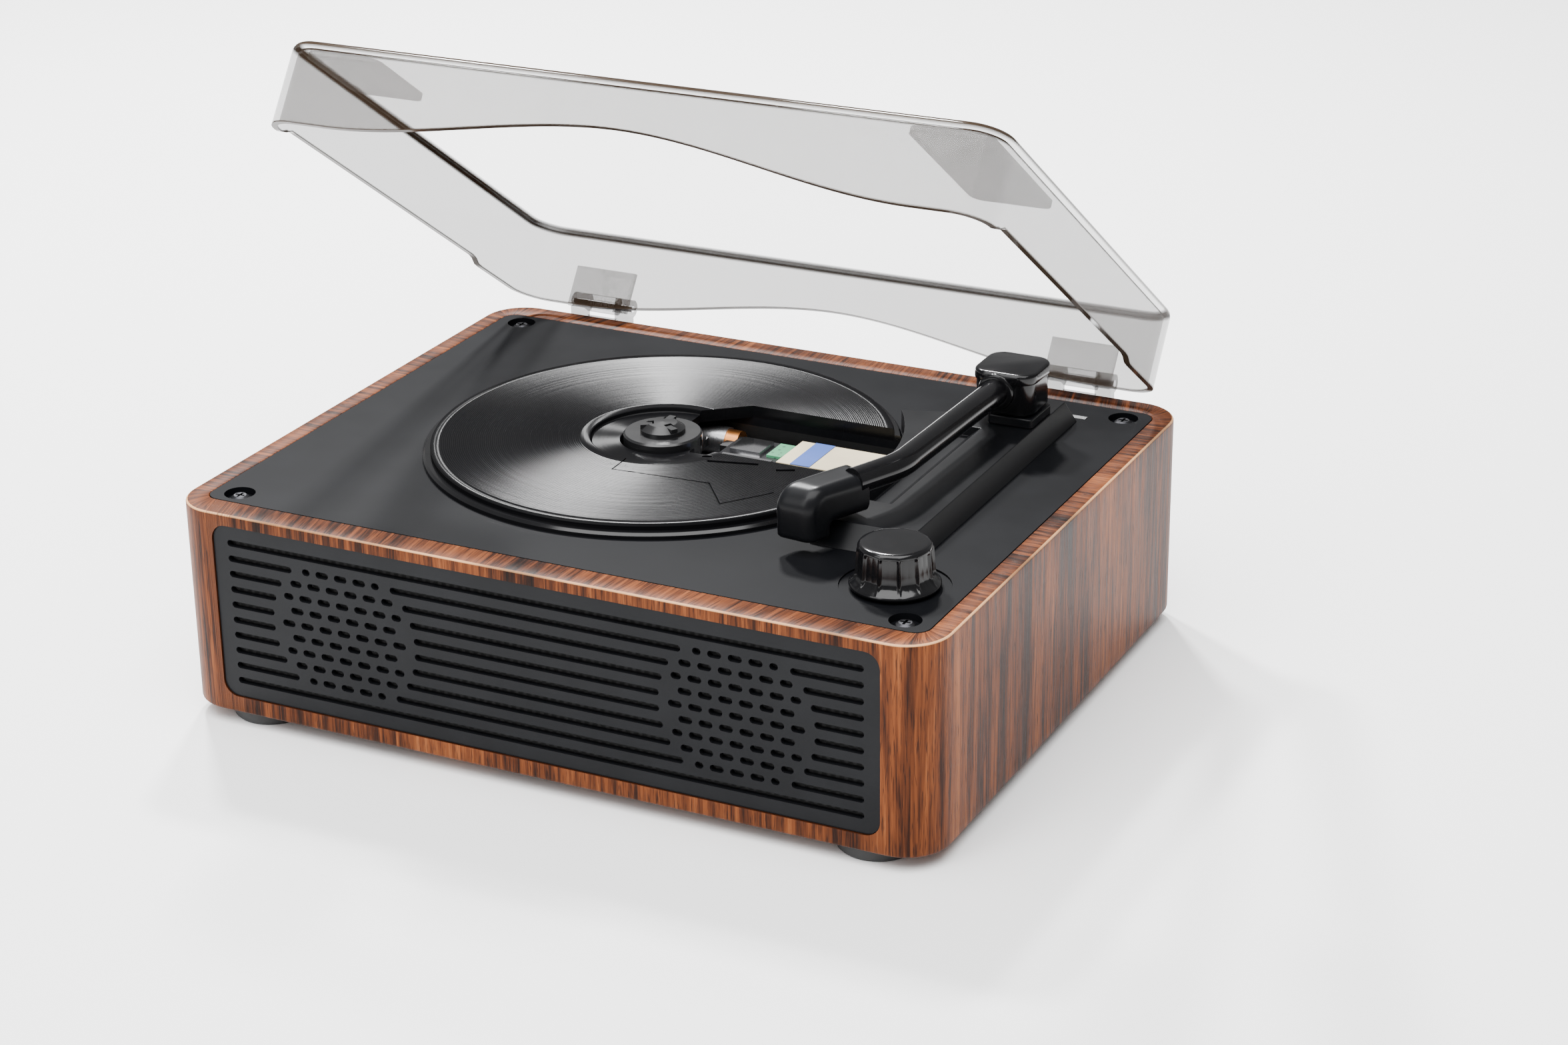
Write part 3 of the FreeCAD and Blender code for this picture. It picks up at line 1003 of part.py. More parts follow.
def make_lid():
    """The smoked lid, its corner pads, and the two hinges with their leaves, pins and screws."""
    edge = top("dim.lid_gap")
    crown = top("dim.lid_gap + dim.lid_height")
    back = f"{HINGE_Y} - dim.lid_setback"
    front = f"{back} - dim.lid_length"
    wall = "dim.lid_wall"
    outer = plate(span("dim.lid_width / 2"), (front, back), (edge, crown), "dim.lid_corner")
    inner = plate(span(f"dim.lid_width / 2 - {wall}"), (f"{front} + {wall}", f"{back} - {wall}"),
                  (f"{edge} - 1", f"{crown} - {wall}"), f"dim.lid_corner - {wall}")
    radius = "((dim.arch_width / 2) ^ 2 + dim.arch_rise ^ 2) / (2 * dim.arch_rise)"
    arch = rod("y", ("0", f"{edge} + dim.arch_rise - {radius}"), (f"{front} - 1", f"{back} + 1"), radius)
    node("lid_cover", opened(cut(outer, inner, arch)))
    outer_side = f"(dim.lid_width / 2 - {wall} - dim.pad_inset)"
    pad_front, under_roof = f"{front} + {wall} + dim.pad_inset", f"{crown} - {wall}"
    pads = [plate(across, (pad_front, f"{pad_front} + {length}"), (f"{under_roof} - dim.pad_thick", under_roof),
                  "dim.pad_corner")
            for across, length in (((f"-{outer_side}", f"-{outer_side} + dim.pad_width"), "dim.left_pad"),
                                   ((f"{outer_side} - dim.pad_width", outer_side), "dim.right_pad"))]
    node("lid_pads", opened(group(*pads)))
    half, third = "dim.hinge_width / 2", "dim.hinge_width / 4"
    knuckle, leaf = "dim.knuckle_radius", "dim.hinge_leaf"
    axis = (HINGE_Y, HINGE_Z)
    brackets, leaves, pins, screws = [], [], [], []
    for side in ("-", ""):
        x = f"{side}dim.hinge_x"
        centre = (f"{x} - {third} + 0.15", f"{x} + {third} - 0.15")
        whole = (f"{x} - {half}", f"{x} + {half}")
        bracket = fuse(block(whole, (back, f"{back} + 1.5"), (edge, f"{edge} + 15")),
                       block(centre, (back, HINGE_Y), (edge, f"{HINGE_Z} + 2.6")),
                       rod("x", axis, centre, knuckle))
        brackets.append(cut(bracket, rod("x", axis, whole, "dim.pin_radius + dim.running_gap")))
        pieces = [block(whole, (BACK, f"{BACK} + {leaf}"), (top("-dim.hinge_plate"), top("-0.5")))]
        for low, high in ((whole[0], f"{x} - {third} - 0.15"), (f"{x} + {third} + 0.15", whole[1])):
            pieces.append(block((low, high), (BACK, HINGE_Y), (top("-3"), HINGE_Z)))
            pieces.append(rod("x", axis, (low, high), knuckle))
        pins.append(rod("x", axis, whole, "dim.pin_radius"))
        drills = [rod("x", axis, whole, "dim.pin_radius")]
        for place_x in hinge_screw_places()[2 * (side == ""):][:2]:
            at = (place_x, HINGE_SCREW_Z)
            drills.append(rod("y", at, (f"{BACK} - 1", f"{BACK} + 4"), "dim.small_screw"))
            screws.append(fuse(rod("y", at, (HINGE_SCREW_TIP, f"{BACK} + {leaf}"), "dim.small_screw"),
                               rod("y", at, (f"{BACK} + {leaf}", f"{BACK} + {leaf} + 1"), "1.8")))
        leaves.append(cut(fuse(*pieces), *drills))
    node("lid_brackets", opened(group(*brackets)))
    node("hinge_leaves", group(*leaves))
    node("hinge_pins", group(*pins))
    node("hinge_screws", group(*screws))


make_case()
make_case_inside()
make_deck()
make_cover()
make_mechanism()
make_spindle()
make_pickup()
make_platform()
make_arm()
make_knob()
make_front()
make_electronics()
make_lid()
doc.recompute()

failed = [item.Label for item in doc.Objects if "Invalid" in item.State or "Error" in item.State]
for part in nodes:
    if part.Shape.isNull() or not part.Shape.isValid():
        failed.append(part.Label)
if failed:
    raise SystemExit("These did not build: " + ", ".join(failed))
os.makedirs("parts", exist_ok=True)
for part in nodes:
    part.Shape.exportStep(f"parts/{part.Label}.step")
print(len(nodes), "sub-parts")
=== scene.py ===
import json
import math
import bmesh
import bpy
import numpy as np
from mathutils import Matrix, Vector


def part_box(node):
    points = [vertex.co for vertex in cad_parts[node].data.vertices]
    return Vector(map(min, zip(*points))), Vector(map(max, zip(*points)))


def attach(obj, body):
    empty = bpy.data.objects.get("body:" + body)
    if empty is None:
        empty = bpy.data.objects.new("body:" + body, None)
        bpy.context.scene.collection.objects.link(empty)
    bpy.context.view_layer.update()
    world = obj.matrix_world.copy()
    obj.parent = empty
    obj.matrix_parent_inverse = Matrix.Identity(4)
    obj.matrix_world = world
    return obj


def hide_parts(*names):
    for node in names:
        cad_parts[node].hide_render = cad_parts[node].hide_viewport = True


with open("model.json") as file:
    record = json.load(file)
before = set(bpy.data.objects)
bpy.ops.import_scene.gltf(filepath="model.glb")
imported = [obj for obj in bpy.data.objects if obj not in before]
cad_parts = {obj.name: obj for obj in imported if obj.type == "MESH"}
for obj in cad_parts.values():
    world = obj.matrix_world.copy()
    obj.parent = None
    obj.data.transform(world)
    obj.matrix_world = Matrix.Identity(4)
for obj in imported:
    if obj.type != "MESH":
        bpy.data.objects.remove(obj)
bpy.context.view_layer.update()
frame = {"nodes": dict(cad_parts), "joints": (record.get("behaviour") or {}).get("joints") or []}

MM = 0.001


# ---- The studio --------------------------------------------------------------------
# White paper under the player, one broad soft light overhead, two small strong lights
# behind on the left that draw spokes across the grooves, and a weak fill from the front.

floor_reach = 6.0
paper = bpy.data.meshes.new("studio_floor")
paper.from_pydata([(x * floor_reach, y * floor_reach, 0) for x, y in ((-1, -1), (1, -1), (1, 1), (-1, 1))],
                  [], [(0, 1, 2, 3)])
floor = bpy.data.objects.new("studio_floor", paper)
bpy.context.scene.collection.objects.link(floor)
white = bpy.data.materials.new("studio_paper")
white.use_nodes = True
paper_shader = white.node_tree.nodes["Principled BSDF"]
paper_shader.inputs["Base Color"].default_value = (0.93, 0.93, 0.93, 1)
paper_shader.inputs["Roughness"].default_value = 0.9
paper.materials.append(white)

sky = bpy.data.worlds.new("studio_sky")
sky.use_nodes = True
sky_shade = sky.node_tree.nodes["Background"]
sky_shade.inputs["Color"].default_value = (1, 1, 1, 1)
sky_shade.inputs["Strength"].default_value = 0.42
bpy.context.scene.world = sky


def softbox(name, at, aim, width, length, power):
    """A rectangular area light standing at one point and facing another."""
    lamp = bpy.data.lights.new(name, "AREA")
    lamp.shape, lamp.size, lamp.size_y, lamp.energy = "RECTANGLE", width, length, power
    holder = bpy.data.objects.new(name, lamp)
    facing = (Vector(aim) - Vector(at)).to_track_quat("-Z", "Y")
    holder.matrix_world = Matrix.Translation(at) @ facing.to_matrix().to_4x4()
    bpy.context.scene.collection.objects.link(holder)


softbox("light_overhead", (0.2, -0.7, 2.0), (0, 0.1, 0.0), 2.4, 2.0, 130)
softbox("light_spoke_back", (-0.46, 0.80, 1.15), (0, 0, 0.08), 0.12, 0.12, 28)
softbox("light_spoke_left", (-0.72, 0.62, 1.12), (0, 0, 0.08), 0.12, 0.12, 30)
softbox("light_front", (-0.6, -1.5, 0.9), (0, 0, 0.05), 0.9, 0.9, 12)

camera = bpy.data.objects.new("studio_camera", bpy.data.cameras.new("studio_camera"))
camera.data.lens, camera.data.sensor_width = 76.0, 36.0
camera.data.clip_start, camera.data.clip_end = 0.05, 30
eye_right, eye_up = Vector((0.8975, 0.4407, -0.0122)), Vector((-0.1623, 0.3561, 0.9202))
eye_back = eye_right.cross(eye_up).normalized()
eye_up = eye_back.cross(eye_right).normalized()
camera.matrix_world = Matrix.Translation((0.4726, -0.8902, 0.4752)) @ Matrix(
    (eye_right.normalized(), eye_up, eye_back)).transposed().to_4x4()
bpy.context.scene.collection.objects.link(camera)
bpy.context.scene.camera = camera


# ---- Walnut case -------------------------------------------------------------------
# A box of board wrapped in walnut-look veneer, its grain upright on all four walls and carried
# over the top edge, with a rebate for the deck. Sanded satin lacquer; a painted highlight on the top edge.

class Level:
    """One value in a material. Arithmetic on it adds Math nodes, so 1 - level works."""

    def __init__(self, paint, socket):
        self.paint, self.socket = paint, socket

    def join(self, operation, first, second=0.0):
        made = self.paint.node("ShaderNodeMath", {"operation": operation}, {0: first, 1: second})
        return Level(self.paint, made.outputs[0])

    def __add__(self, other): return self.join("ADD", self, other)
    def __radd__(self, other): return self.join("ADD", other, self)
    def __sub__(self, other): return self.join("SUBTRACT", self, other)
    def __rsub__(self, other): return self.join("SUBTRACT", other, self)
    def __mul__(self, other): return self.join("MULTIPLY", self, other)
    def __rmul__(self, other): return self.join("MULTIPLY", other, self)

    def wave(self):
        """The sine of the level."""
        return self.join("SINE", self)

    def ease(self, low, high):
        """0 below low, 1 above high, and a smooth step between."""
        made = self.paint.node("ShaderNodeMapRange", {"interpolation_type": "SMOOTHSTEP"},
                               {"Value": self, "From Min": low, "From Max": high})
        return Level(self.paint, made.outputs["Result"])


class Paint:
    """A material being mixed: fixed values go on its shader's sockets, varying ones are fed."""

    def __init__(self, name, colour, roughness, **fixed):
        self.material = bpy.data.materials.new(name)
        self.material.use_nodes = True
        self.material.diffuse_color = (*colour, 1)
        self.tree = self.material.node_tree
        self.shader = self.tree.nodes["Principled BSDF"]
        self.shader.inputs["Base Color"].default_value = (*colour, 1)
        self.shader.inputs["Roughness"].default_value = roughness
        for socket, value in fixed.items():
            self.shader.inputs[socket.replace("_", " ")].default_value = value

    def node(self, kind, settings, sockets):
        """Any node: its settings first, then the values or links of its sockets."""
        made = self.tree.nodes.new(kind)
        for name, value in settings.items():
            if name == "stops":
                ends = made.color_ramp.elements
                ends[0].position, ends[0].color = value[0][0], (*value[0][1], 1)
                ends[1].position, ends[1].color = value[-1][0], (*value[-1][1], 1)
                for place, colour in value[1:-1]:
                    made.color_ramp.elements.new(place).color = (*colour, 1)
            else:
                setattr(made, name, value)
        for name, value in sockets.items():
            source = value.socket if isinstance(value, Level) else value
            if isinstance(source, bpy.types.NodeSocket):
                self.tree.links.new(source, made.inputs[name])
            else:
                made.inputs[name].default_value = source
        return made

    def feed(self, socket, value):
        """Link a level or a colour to one of the shader's sockets."""
        source = value.socket if isinstance(value, Level) else value
        self.tree.links.new(source, self.shader.inputs[socket])

    def coordinates(self, stretch=(1, 1, 1), source="Object"):
        """Object coordinates, or the piece's own map, stretched along each axis."""
        where = self.node("ShaderNodeTexCoord", {}, {}).outputs[source]
        return self.node("ShaderNodeMapping", {}, {"Vector": where, "Scale": stretch}).outputs[0]

    def noise(self, where, scale, detail=3.0, rough=0.55, distortion=0.0):
        """Cloudy noise from 0 to 1 at a number of lumps to the metre."""
        made = self.node("ShaderNodeTexNoise", {}, {"Vector": where, "Scale": scale, "Detail": detail,
                                                    "Roughness": rough, "Distortion": distortion})
        return Level(self, made.outputs[0])

    def ramp(self, level, stops):
        """Colours along a level."""
        return self.node("ShaderNodeValToRGB", {"stops": stops}, {"Fac": level}).outputs[0]

    def blend(self, amount, first, second):
        """One colour fading into another; each is a colour or a link."""
        sockets = {0: amount, 6: first, 7: second}
        for key, colour in ((6, first), (7, second)):
            if isinstance(colour, tuple):
                sockets[key] = (*colour, 1)
        return self.node("ShaderNodeMix", {"data_type": "RGBA"}, sockets).outputs[2]

    def parts(self, where):
        """The three numbers of a vector, as levels by the names X, Y and Z."""
        made = self.node("ShaderNodeSeparateXYZ", {}, {"Vector": where})
        return {axis: Level(self, made.outputs[axis]) for axis in "XYZ"}

    def facing(self, blend):
        """How far the surface turns its edge to the eye: 0 seen square on, 1 seen on the slant."""
        return Level(self, self.node("ShaderNodeLayerWeight", {}, {"Blend": blend}).outputs["Facing"])

    def bump(self, height, strength, depth):
        """Small relief of a height level, in metres of depth."""
        made = self.node("ShaderNodeBump", {}, {"Height": height, "Strength": strength, "Distance": depth})
        self.feed("Normal", made.outputs[0])


def finish_piece(name, mesh, body, material, stands_for, crease=35):
    """Put a mesh in the scene: shade it, paint it, tie it to its body and hide the CAD nodes it stands for.
    """
    mesh.polygons.foreach_set("use_smooth", np.ones(len(mesh.polygons), bool))
    mesh.set_sharp_from_angle(angle=math.radians(crease))
    mesh.materials.clear()
    mesh.materials.append(material)
    piece = bpy.data.objects.new(name, mesh)
    bpy.context.scene.collection.objects.link(piece)
    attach(piece, body)
    if stands_for:
        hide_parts(*stands_for)
    return piece


def skin(name, grid, wrap_rows=False, wrap_columns=True, walk=None):
    """A mesh over a grid of points, rows by columns. A wrapped side joins its last line to its
    first; rows that aren't wrapped are closed by a flat cap at each end. walk is a second grid
    of two numbers a point, kept as the map 'walk'."""
    rows, columns = grid.shape[:2]
    down = np.arange(rows if wrap_rows else rows - 1)
    across = np.arange(columns if wrap_columns else columns - 1)
    i, j = (axis.ravel() for axis in np.meshgrid(down, across, indexing="ij"))
    i2, j2 = (i + 1) % rows, (j + 1) % columns
    quads = np.stack([i * columns + j, i * columns + j2, i2 * columns + j2, i2 * columns + j], 1)
    points = grid.reshape(-1, 3)
    a, b, c, d = (points[quads[:, k]] for k in range(4))
    size = np.einsum("ij,ij->i", np.cross(b - a, c - a) + np.cross(c - a, d - a), (a + b + c + d) / 4)
    faces = quads.tolist()
    if not wrap_rows:
        first, last = list(range(columns)), list(range((rows - 1) * columns, rows * columns))
        faces += [first[::-1], last]
        for cap, sign in ((first[::-1], 1), (last, 1)):
            ring = points[cap]
            fan = np.cross(ring[1:-1] - ring[0], ring[2:] - ring[0])
            size = np.append(size, sign * np.einsum("ij,j->i", fan, ring[0]).sum())
    if size.sum() < 0:
        faces = [face[::-1] for face in faces]
    mesh = bpy.data.meshes.new(name)
    mesh.from_pydata(points.tolist(), [], faces)
    if walk is not None:
        flat = walk.reshape(-1, 2).astype(np.float32)
        corners = np.zeros(len(mesh.loops), np.int32)
        mesh.loops.foreach_get("vertex_index", corners)
        layer = mesh.uv_layers.new(name="walk")
        layer.data.foreach_set("uv", flat[corners].ravel())
    mesh.update()
    return mesh


def outline(half_x, half_y, corner, middle=(0, 0), side=24, turn=12):
    """Points round a rectangle with round corners: each straight run has `side` points and each
    corner arc `turn`, so outlines of any size match point for point. Also their travel round."""
    arcs = []
    for k, (sx, sy) in enumerate(((1, -1), (1, 1), (-1, 1), (-1, -1))):
        angle = np.radians(-90 + 90 * k) + np.linspace(0, np.pi / 2, turn)
        arcs.append(np.stack([sx * (half_x - corner) + corner * np.cos(angle),
                              sy * (half_y - corner) + corner * np.sin(angle)], 1))
    runs = []
    for k in range(4):
        start, end = arcs[k - 1][-1], arcs[k][0]
        share = np.linspace(0, 1, side + 2)[1:-1, None]
        runs += [start + (end - start) * share, arcs[k]]
    ring = np.concatenate(runs) + np.array(middle)
    step = np.linalg.norm(np.diff(ring, axis=0, append=ring[:1]), axis=1)
    return ring, np.concatenate([[0], np.cumsum(step)[:-1]])


def carve(mesh, tools):
    """The mesh with other meshes cut out of it."""
    body = bpy.data.objects.new("carve_body", mesh)
    bpy.context.scene.collection.objects.link(body)
    held = [body]
    for tool in tools:
        cutter = bpy.data.objects.new("carve_tool", tool)
        bpy.context.scene.collection.objects.link(cutter)
        cut = body.modifiers.new("cut", "BOOLEAN")
        cut.operation, cut.solver, cut.object = "DIFFERENCE", "EXACT", cutter
        held.append(cutter)
    bpy.context.view_layer.update()
    made = bpy.data.meshes.new_from_object(body.evaluated_get(bpy.context.evaluated_depsgraph_get()))
    for item in held:
        bpy.data.objects.remove(item)
    return made


def stacked(name, levels):
    """A skin through outlines laid level above one another, each given with its height."""
    return skin(name, np.array([np.column_stack([ring, np.full(len(ring), z)]) for ring, z in levels]))


def upright_bar(points, low, high):
    """A straight-sided bar: an outline in plan raised from one height to another."""
    ring = np.array(points, float)
    return stacked("bar", [(ring, low), (ring, high)])


def deep_bar(ring, near, far):
    """A straight-sided bar: an outline in width and height drawn from one depth to another."""
    rows = [np.column_stack([ring[:, 0], np.full(len(ring), y), ring[:, 1]]) for y in (near, far)]
    return skin("bar", np.array(rows))


def circle(middle, radius):
    """Points round a circle about a middle."""
    turn = np.radians(np.arange(0, 360, 7.5))
    return np.column_stack([middle[0] + radius * np.cos(turn), middle[1] + radius * np.sin(turn)])


def shrunk(half, margin):
    """A rectangle's half sizes, drawn in all round by a margin."""
    return half[0] - margin, half[1] - margin


def box_bar(low, high):
    """A plain block between two corners, used to cut openings."""
    corners = [(low[0], low[1]), (high[0], low[1]), (high[0], high[1]), (low[0], high[1])]
    return upright_bar(corners, low[2], high[2])


def walnut(highlight_at):
    """Reddish walnut veneer along the map's second axis: broad bands, dark streaks and fine pores,
    with a painted highlight, a pale line where the walls turn over into the top, at the given place along
    the map."""
    paint = Paint("walnut_veneer", (0.3, 0.12, 0.05), 0.42, Specular_IOR_Level=0.1)
    broad = paint.noise(paint.coordinates((1, 0.05, 1), "UV"), 22, 2, 0.5, 0.4)
    bands = paint.noise(paint.coordinates((1, 0.05, 1), "UV"), 190, 4, 0.65, 1.1)
    streaks = paint.noise(paint.coordinates((1, 0.03, 1), "UV"), 700, 3, 0.6, 0.3)
    pores = paint.noise(paint.coordinates((1, 0.05, 1), "UV"), 2300, 2, 0.5)
    tone = broad * 0.30 + bands * 0.42 + streaks * 0.36
    colour = paint.ramp(tone, [(0.42, (0.006, 0.0018, 0.0008)), (0.485, (0.026, 0.0068, 0.0022)),
                               (0.54, (0.082, 0.0215, 0.0060)), (0.61, (0.155, 0.044, 0.0125)),
                               (0.70, (0.26, 0.085, 0.026))])
    dark = pores.ease(0.55, 0.66) * 0.7
    colour = paint.blend(dark, colour, (0.008, 0.003, 0.002))
    along = paint.parts(paint.coordinates(source="UV"))["Y"]
    # Painted highlight: a pale stripe across the rounded top edge, standing in for the light it catches.
    line = along.ease(highlight_at - 0.5 * MM, highlight_at - 0.1 * MM)
    line = line * (1 - along.ease(highlight_at + 0.25 * MM, highlight_at + 0.6 * MM))
    line = line * (0.35 + 0.65 * broad.ease(0.35, 0.6))
    paint.feed("Base Color", paint.blend(line, colour, (0.62, 0.34, 0.17)))
    paint.feed("Roughness", 0.34 + 0.22 * streaks)
    paint.bump(streaks * 0.6 - dark, 0.35, 0.00015)
    return paint.material


case_low, case_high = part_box("cabinet_shell")
deck_low, deck_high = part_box("deck_plate")
grille_low, grille_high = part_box("front_grille")
case_middle = (case_low.y + case_high.y) / 2
grille_z = (grille_low.z + grille_high.z) / 2
play = 0.15 * MM                                    # gap round a piece let into the wood
wall, edge, rebate_edge = 12 * MM, 0.9 * MM, 0.3 * MM
case_corner, rebate_corner, inside_corner = 14.5 * MM, 5.0 * MM, 3.0 * MM
rebate_z = deck_low.z - 0.01 * MM
half_case = ((case_high.x - case_low.x) / 2, (case_high.y - case_low.y) / 2)
half_rebate = ((deck_high.x - deck_low.x) / 2 + play, (deck_high.y - deck_low.y) / 2 + play)
half_inside = shrunk(half_case, wall)
case_rings = [(half_inside, inside_corner, case_low.z)]
for a in np.linspace(0, math.pi / 2, 4):
    pull = edge * (1 - math.sin(a))
    case_rings.append((shrunk(half_case, pull), case_corner - pull, case_low.z + edge * (1 - math.cos(a))))
case_rings += [(half_case, case_corner, z)
               for z in np.linspace(case_low.z + 4 * MM, case_high.z - 4 * MM, 8)]
for a in np.linspace(0, math.pi / 2, 5):
    pull = edge * (1 - math.cos(a))
    case_rings.append((shrunk(half_case, pull), case_corner - pull, case_high.z - edge * (1 - math.sin(a))))
# The ring halfway round the top edge, where the walnut's painted highlight runs.
highlight_ring = len(case_rings) - 3                   # halfway round the top edge
case_rings += [(shrunk(half_rebate, -rebate_edge), rebate_corner + rebate_edge, case_high.z),
               (half_rebate, rebate_corner, case_high.z - rebate_edge),
               (half_rebate, rebate_corner, rebate_z), (half_inside, inside_corner, rebate_z)]
case_grid, case_walk, walked = [], [], 0.0
_, round_case = outline(*half_case, case_corner)
for number, (half, corner, z) in enumerate(case_rings):
    ring, _ = outline(*half, corner, (0, case_middle))
    if number:
        walked += float(np.linalg.norm(np.append(ring[10], z) - case_grid[-1][10]))
    if number == highlight_ring:
        top_edge = walked
    case_grid.append(np.column_stack([ring, np.full(len(ring), z)]))
    case_walk.append(np.column_stack([round_case, np.full(len(ring), walked)]))
case_mesh = skin("walnut_case", np.array(case_grid), wrap_rows=True, walk=np.array(case_walk))

speaker_x, sound_hole = 68.6 * MM, 21 * MM
panel_low, panel_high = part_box("rear_panel")
half_grille = ((grille_high.x - grille_low.x) / 2, (grille_high.z - grille_low.z) / 2)
recess_ring, _ = outline(*shrunk(half_grille, -play), 5.0 * MM + play, (0, grille_z), 4, 10)
case_mesh = carve(case_mesh, [
    deep_bar(recess_ring, case_low.y - 2 * MM, case_low.y + 3.2 * MM),
    *(deep_bar(circle((x, grille_z), sound_hole), case_low.y + 2 * MM, case_low.y + 13 * MM)
      for x in (-speaker_x, speaker_x)),
    box_bar((panel_low.x - play, panel_low.y, panel_low.z - play),
            (panel_high.x + play, panel_high.y + 2 * MM, panel_high.z + play)),
    box_bar((panel_low.x + 4 * MM, panel_low.y - 12 * MM, panel_low.z + 3 * MM),
            (panel_high.x - 4 * MM, panel_high.y + 1 * MM, panel_high.z - 3 * MM))])
finish_piece("walnut_case", case_mesh, "cabinet", walnut(top_edge), ["cabinet_shell"], 50)


# ---- Inside and under the case -------------------------------------------------------
# Pale softwood blocks glued in the corners take the deck's and the feet's screws. A dark
# fibreboard panel closes the bottom; soft rubber feet are screwed through it.

def wood_block(name, light, dark):
    """Plain sawn wood with its grain along the upright axis."""
    paint = Paint(name, light, 0.75)
    fibre = paint.noise(paint.coordinates((1, 1, 0.08)), 420, 4)
    paint.feed("Base Color", paint.ramp(fibre, [(0.35, dark), (0.7, light)]))
    paint.feed("Roughness", 0.65 + 0.2 * fibre)
    paint.bump(fibre, 0.3, 0.0002)
    return paint.material


def moulded(name, colour, roughness, grain=2500, relief=0.12, **fixed):
    """Moulded plastic or rubber: a fine spark-eroded grain and slight clouding of its gloss."""
    paint = Paint(name, colour, roughness, **fixed)
    spots = paint.noise(paint.coordinates(), grain, 2)
    cloud = paint.noise(paint.coordinates(), 45, 3)
    paler = tuple(min(1, 1.25 * channel + 0.0012) for channel in colour)
    paint.feed("Base Color", paint.blend(cloud.ease(0.3, 0.75), colour, paler))
    paint.feed("Roughness", roughness * 0.86 + roughness * 0.28 * cloud)
    paint.bump(spots, relief, 0.00006)
    return paint.material


def metal(name, colour, roughness, stretch=(1, 1, 0.05), **fixed):
    """Bright metal with fine brushing drawn out along the axes that stretch makes short."""
    paint = Paint(name, colour, roughness, Metallic=1.0, **fixed)
    lines = paint.noise(paint.coordinates(stretch), 3000, 3)
    paint.feed("Base Color", paint.blend(lines.ease(0.3, 0.7), tuple(0.82 * c for c in colour), colour))
    paint.feed("Roughness", roughness * 0.75 + roughness * 0.5 * lines)
    paint.bump(lines, 0.08, 0.00003)
    return paint.material


def dress(material, *names):
    """Give CAD pieces that keep their shape their finish."""
    for name in names:
        for held in frame["nodes"][name].material_slots:
            held.material = material


dress(wood_block("pale_wood", (0.62, 0.46, 0.28), (0.40, 0.26, 0.14)), "corner_blocks")
dress(wood_block("fibreboard", (0.10, 0.075, 0.055), (0.05, 0.035, 0.025)), "bottom_board")
dress(moulded("rubber_black", (0.02, 0.02, 0.02), 0.7, 1800, 0.3), "rubber_feet", "damper_grommets")
bright_steel = metal("steel", (0.68, 0.68, 0.70), 0.28)
dress(metal("blackened_steel", (0.05, 0.05, 0.055), 0.4), "deck_screws")
dress(bright_steel, "foot_screws", "hinge_screws", "board_screws", "hinge_pins", "shaft_clip",
      "pivot_shaft", "volume_shaft")


# ---- Deck ----------------------------------------------------------------------------
# One flat plate of satin black plastic let in flush with the wood, with four deep screw
# holes, a shallow ring round the knob and a small silver window near the back corner.

dress(moulded("black_satin", (0.0028, 0.0030, 0.0038), 0.5, 3200, 0.2, Specular_IOR_Level=0.05),
      "deck_plate", "rear_panel")
dress(metal("silver_window", (0.78, 0.79, 0.80), 0.3), "status_window")


# ---- Record-look cover ---------------------------------------------------------------
# A moulding that passes for a record: fine concentric grooves, a sunk label with the hub
# through it, and a window over the pickup. A glossy ring sits under its edge.

hub_low, hub_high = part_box("spindle_hub")
spindle = ((hub_low.x + hub_high.x) / 2, (hub_low.y + hub_high.y) / 2)
cover_low, cover_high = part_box("disc_cover")


def lathe(name, profile, middle, pinch=None, loop=False):
    """A turned surface: a profile of radius and height swept round an upright axis. A looped
    profile never meets the axis. pinch changes the radii with height and turn."""
    turn = np.linspace(0, 2 * np.pi, 288, endpoint=False)
    radius, height = (line[:, None] for line in np.array(profile, float).T)
    if pinch:
        radius = pinch(radius, height, turn[None, :])
    across, along = radius * np.cos(turn), radius * np.sin(turn)
    grid = np.stack([middle[0] + across, middle[1] + along, np.broadcast_to(height, across.shape)], 2)
    return skin(name, grid, wrap_rows=loop)


top_z, base_z = cover_high.z, cover_low.z
label_z = top_z - 1.6 * MM
groove_lines, groove_half = 140, 0.05 * MM
hole_r, label_r, groove_in, groove_out, rim_r = 14 * MM, 23.2 * MM, 27 * MM, 73.2 * MM, 76 * MM
groove = np.linspace(groove_in, groove_out, groove_lines)
groove_z = top_z - groove_half - groove_half * np.cos(np.arange(groove_lines) * np.pi)
cover_profile = [(hole_r, base_z), (hole_r, label_z - 0.2 * MM), (hole_r + 0.2 * MM, label_z)]
cover_profile += [(r, label_z) for r in np.linspace(hole_r + 1 * MM, label_r, 4)]
cover_profile += [(label_r + 0.3 * MM, label_z + 0.3 * MM), (label_r + 0.6 * MM, top_z - 0.2 * MM),
                  (label_r + 1 * MM, top_z)]
cover_profile += list(zip(groove, groove_z))
cover_profile += [(rim_r - 2 * MM, top_z), (rim_r - 0.8 * MM, top_z), (rim_r - 0.3 * MM, top_z - 0.25 * MM),
                  (rim_r, top_z - 0.8 * MM), (rim_r, base_z)]
record = lathe("record_cover", cover_profile, spindle, loop=True)
well_low, well_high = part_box("mechanism_well")
window_front, window_back = well_low.y + 16 * MM, well_high.y - 2 * MM
window_left = spindle[0] + 13.5 * MM
window_right, notch_x = spindle[0] + 90 * MM, spindle[0] + 1.5 * MM
window = upright_bar([(window_left, window_front), (window_right, window_front),
                      (window_right, window_back), (window_left + 2 * MM, window_back),
                      (notch_x, spindle[1] + 23.5 * MM), (notch_x, spindle[1] + 13 * MM),
                      (window_left, spindle[1] + 6.5 * MM)], base_z - MM, top_z + 3 * MM)


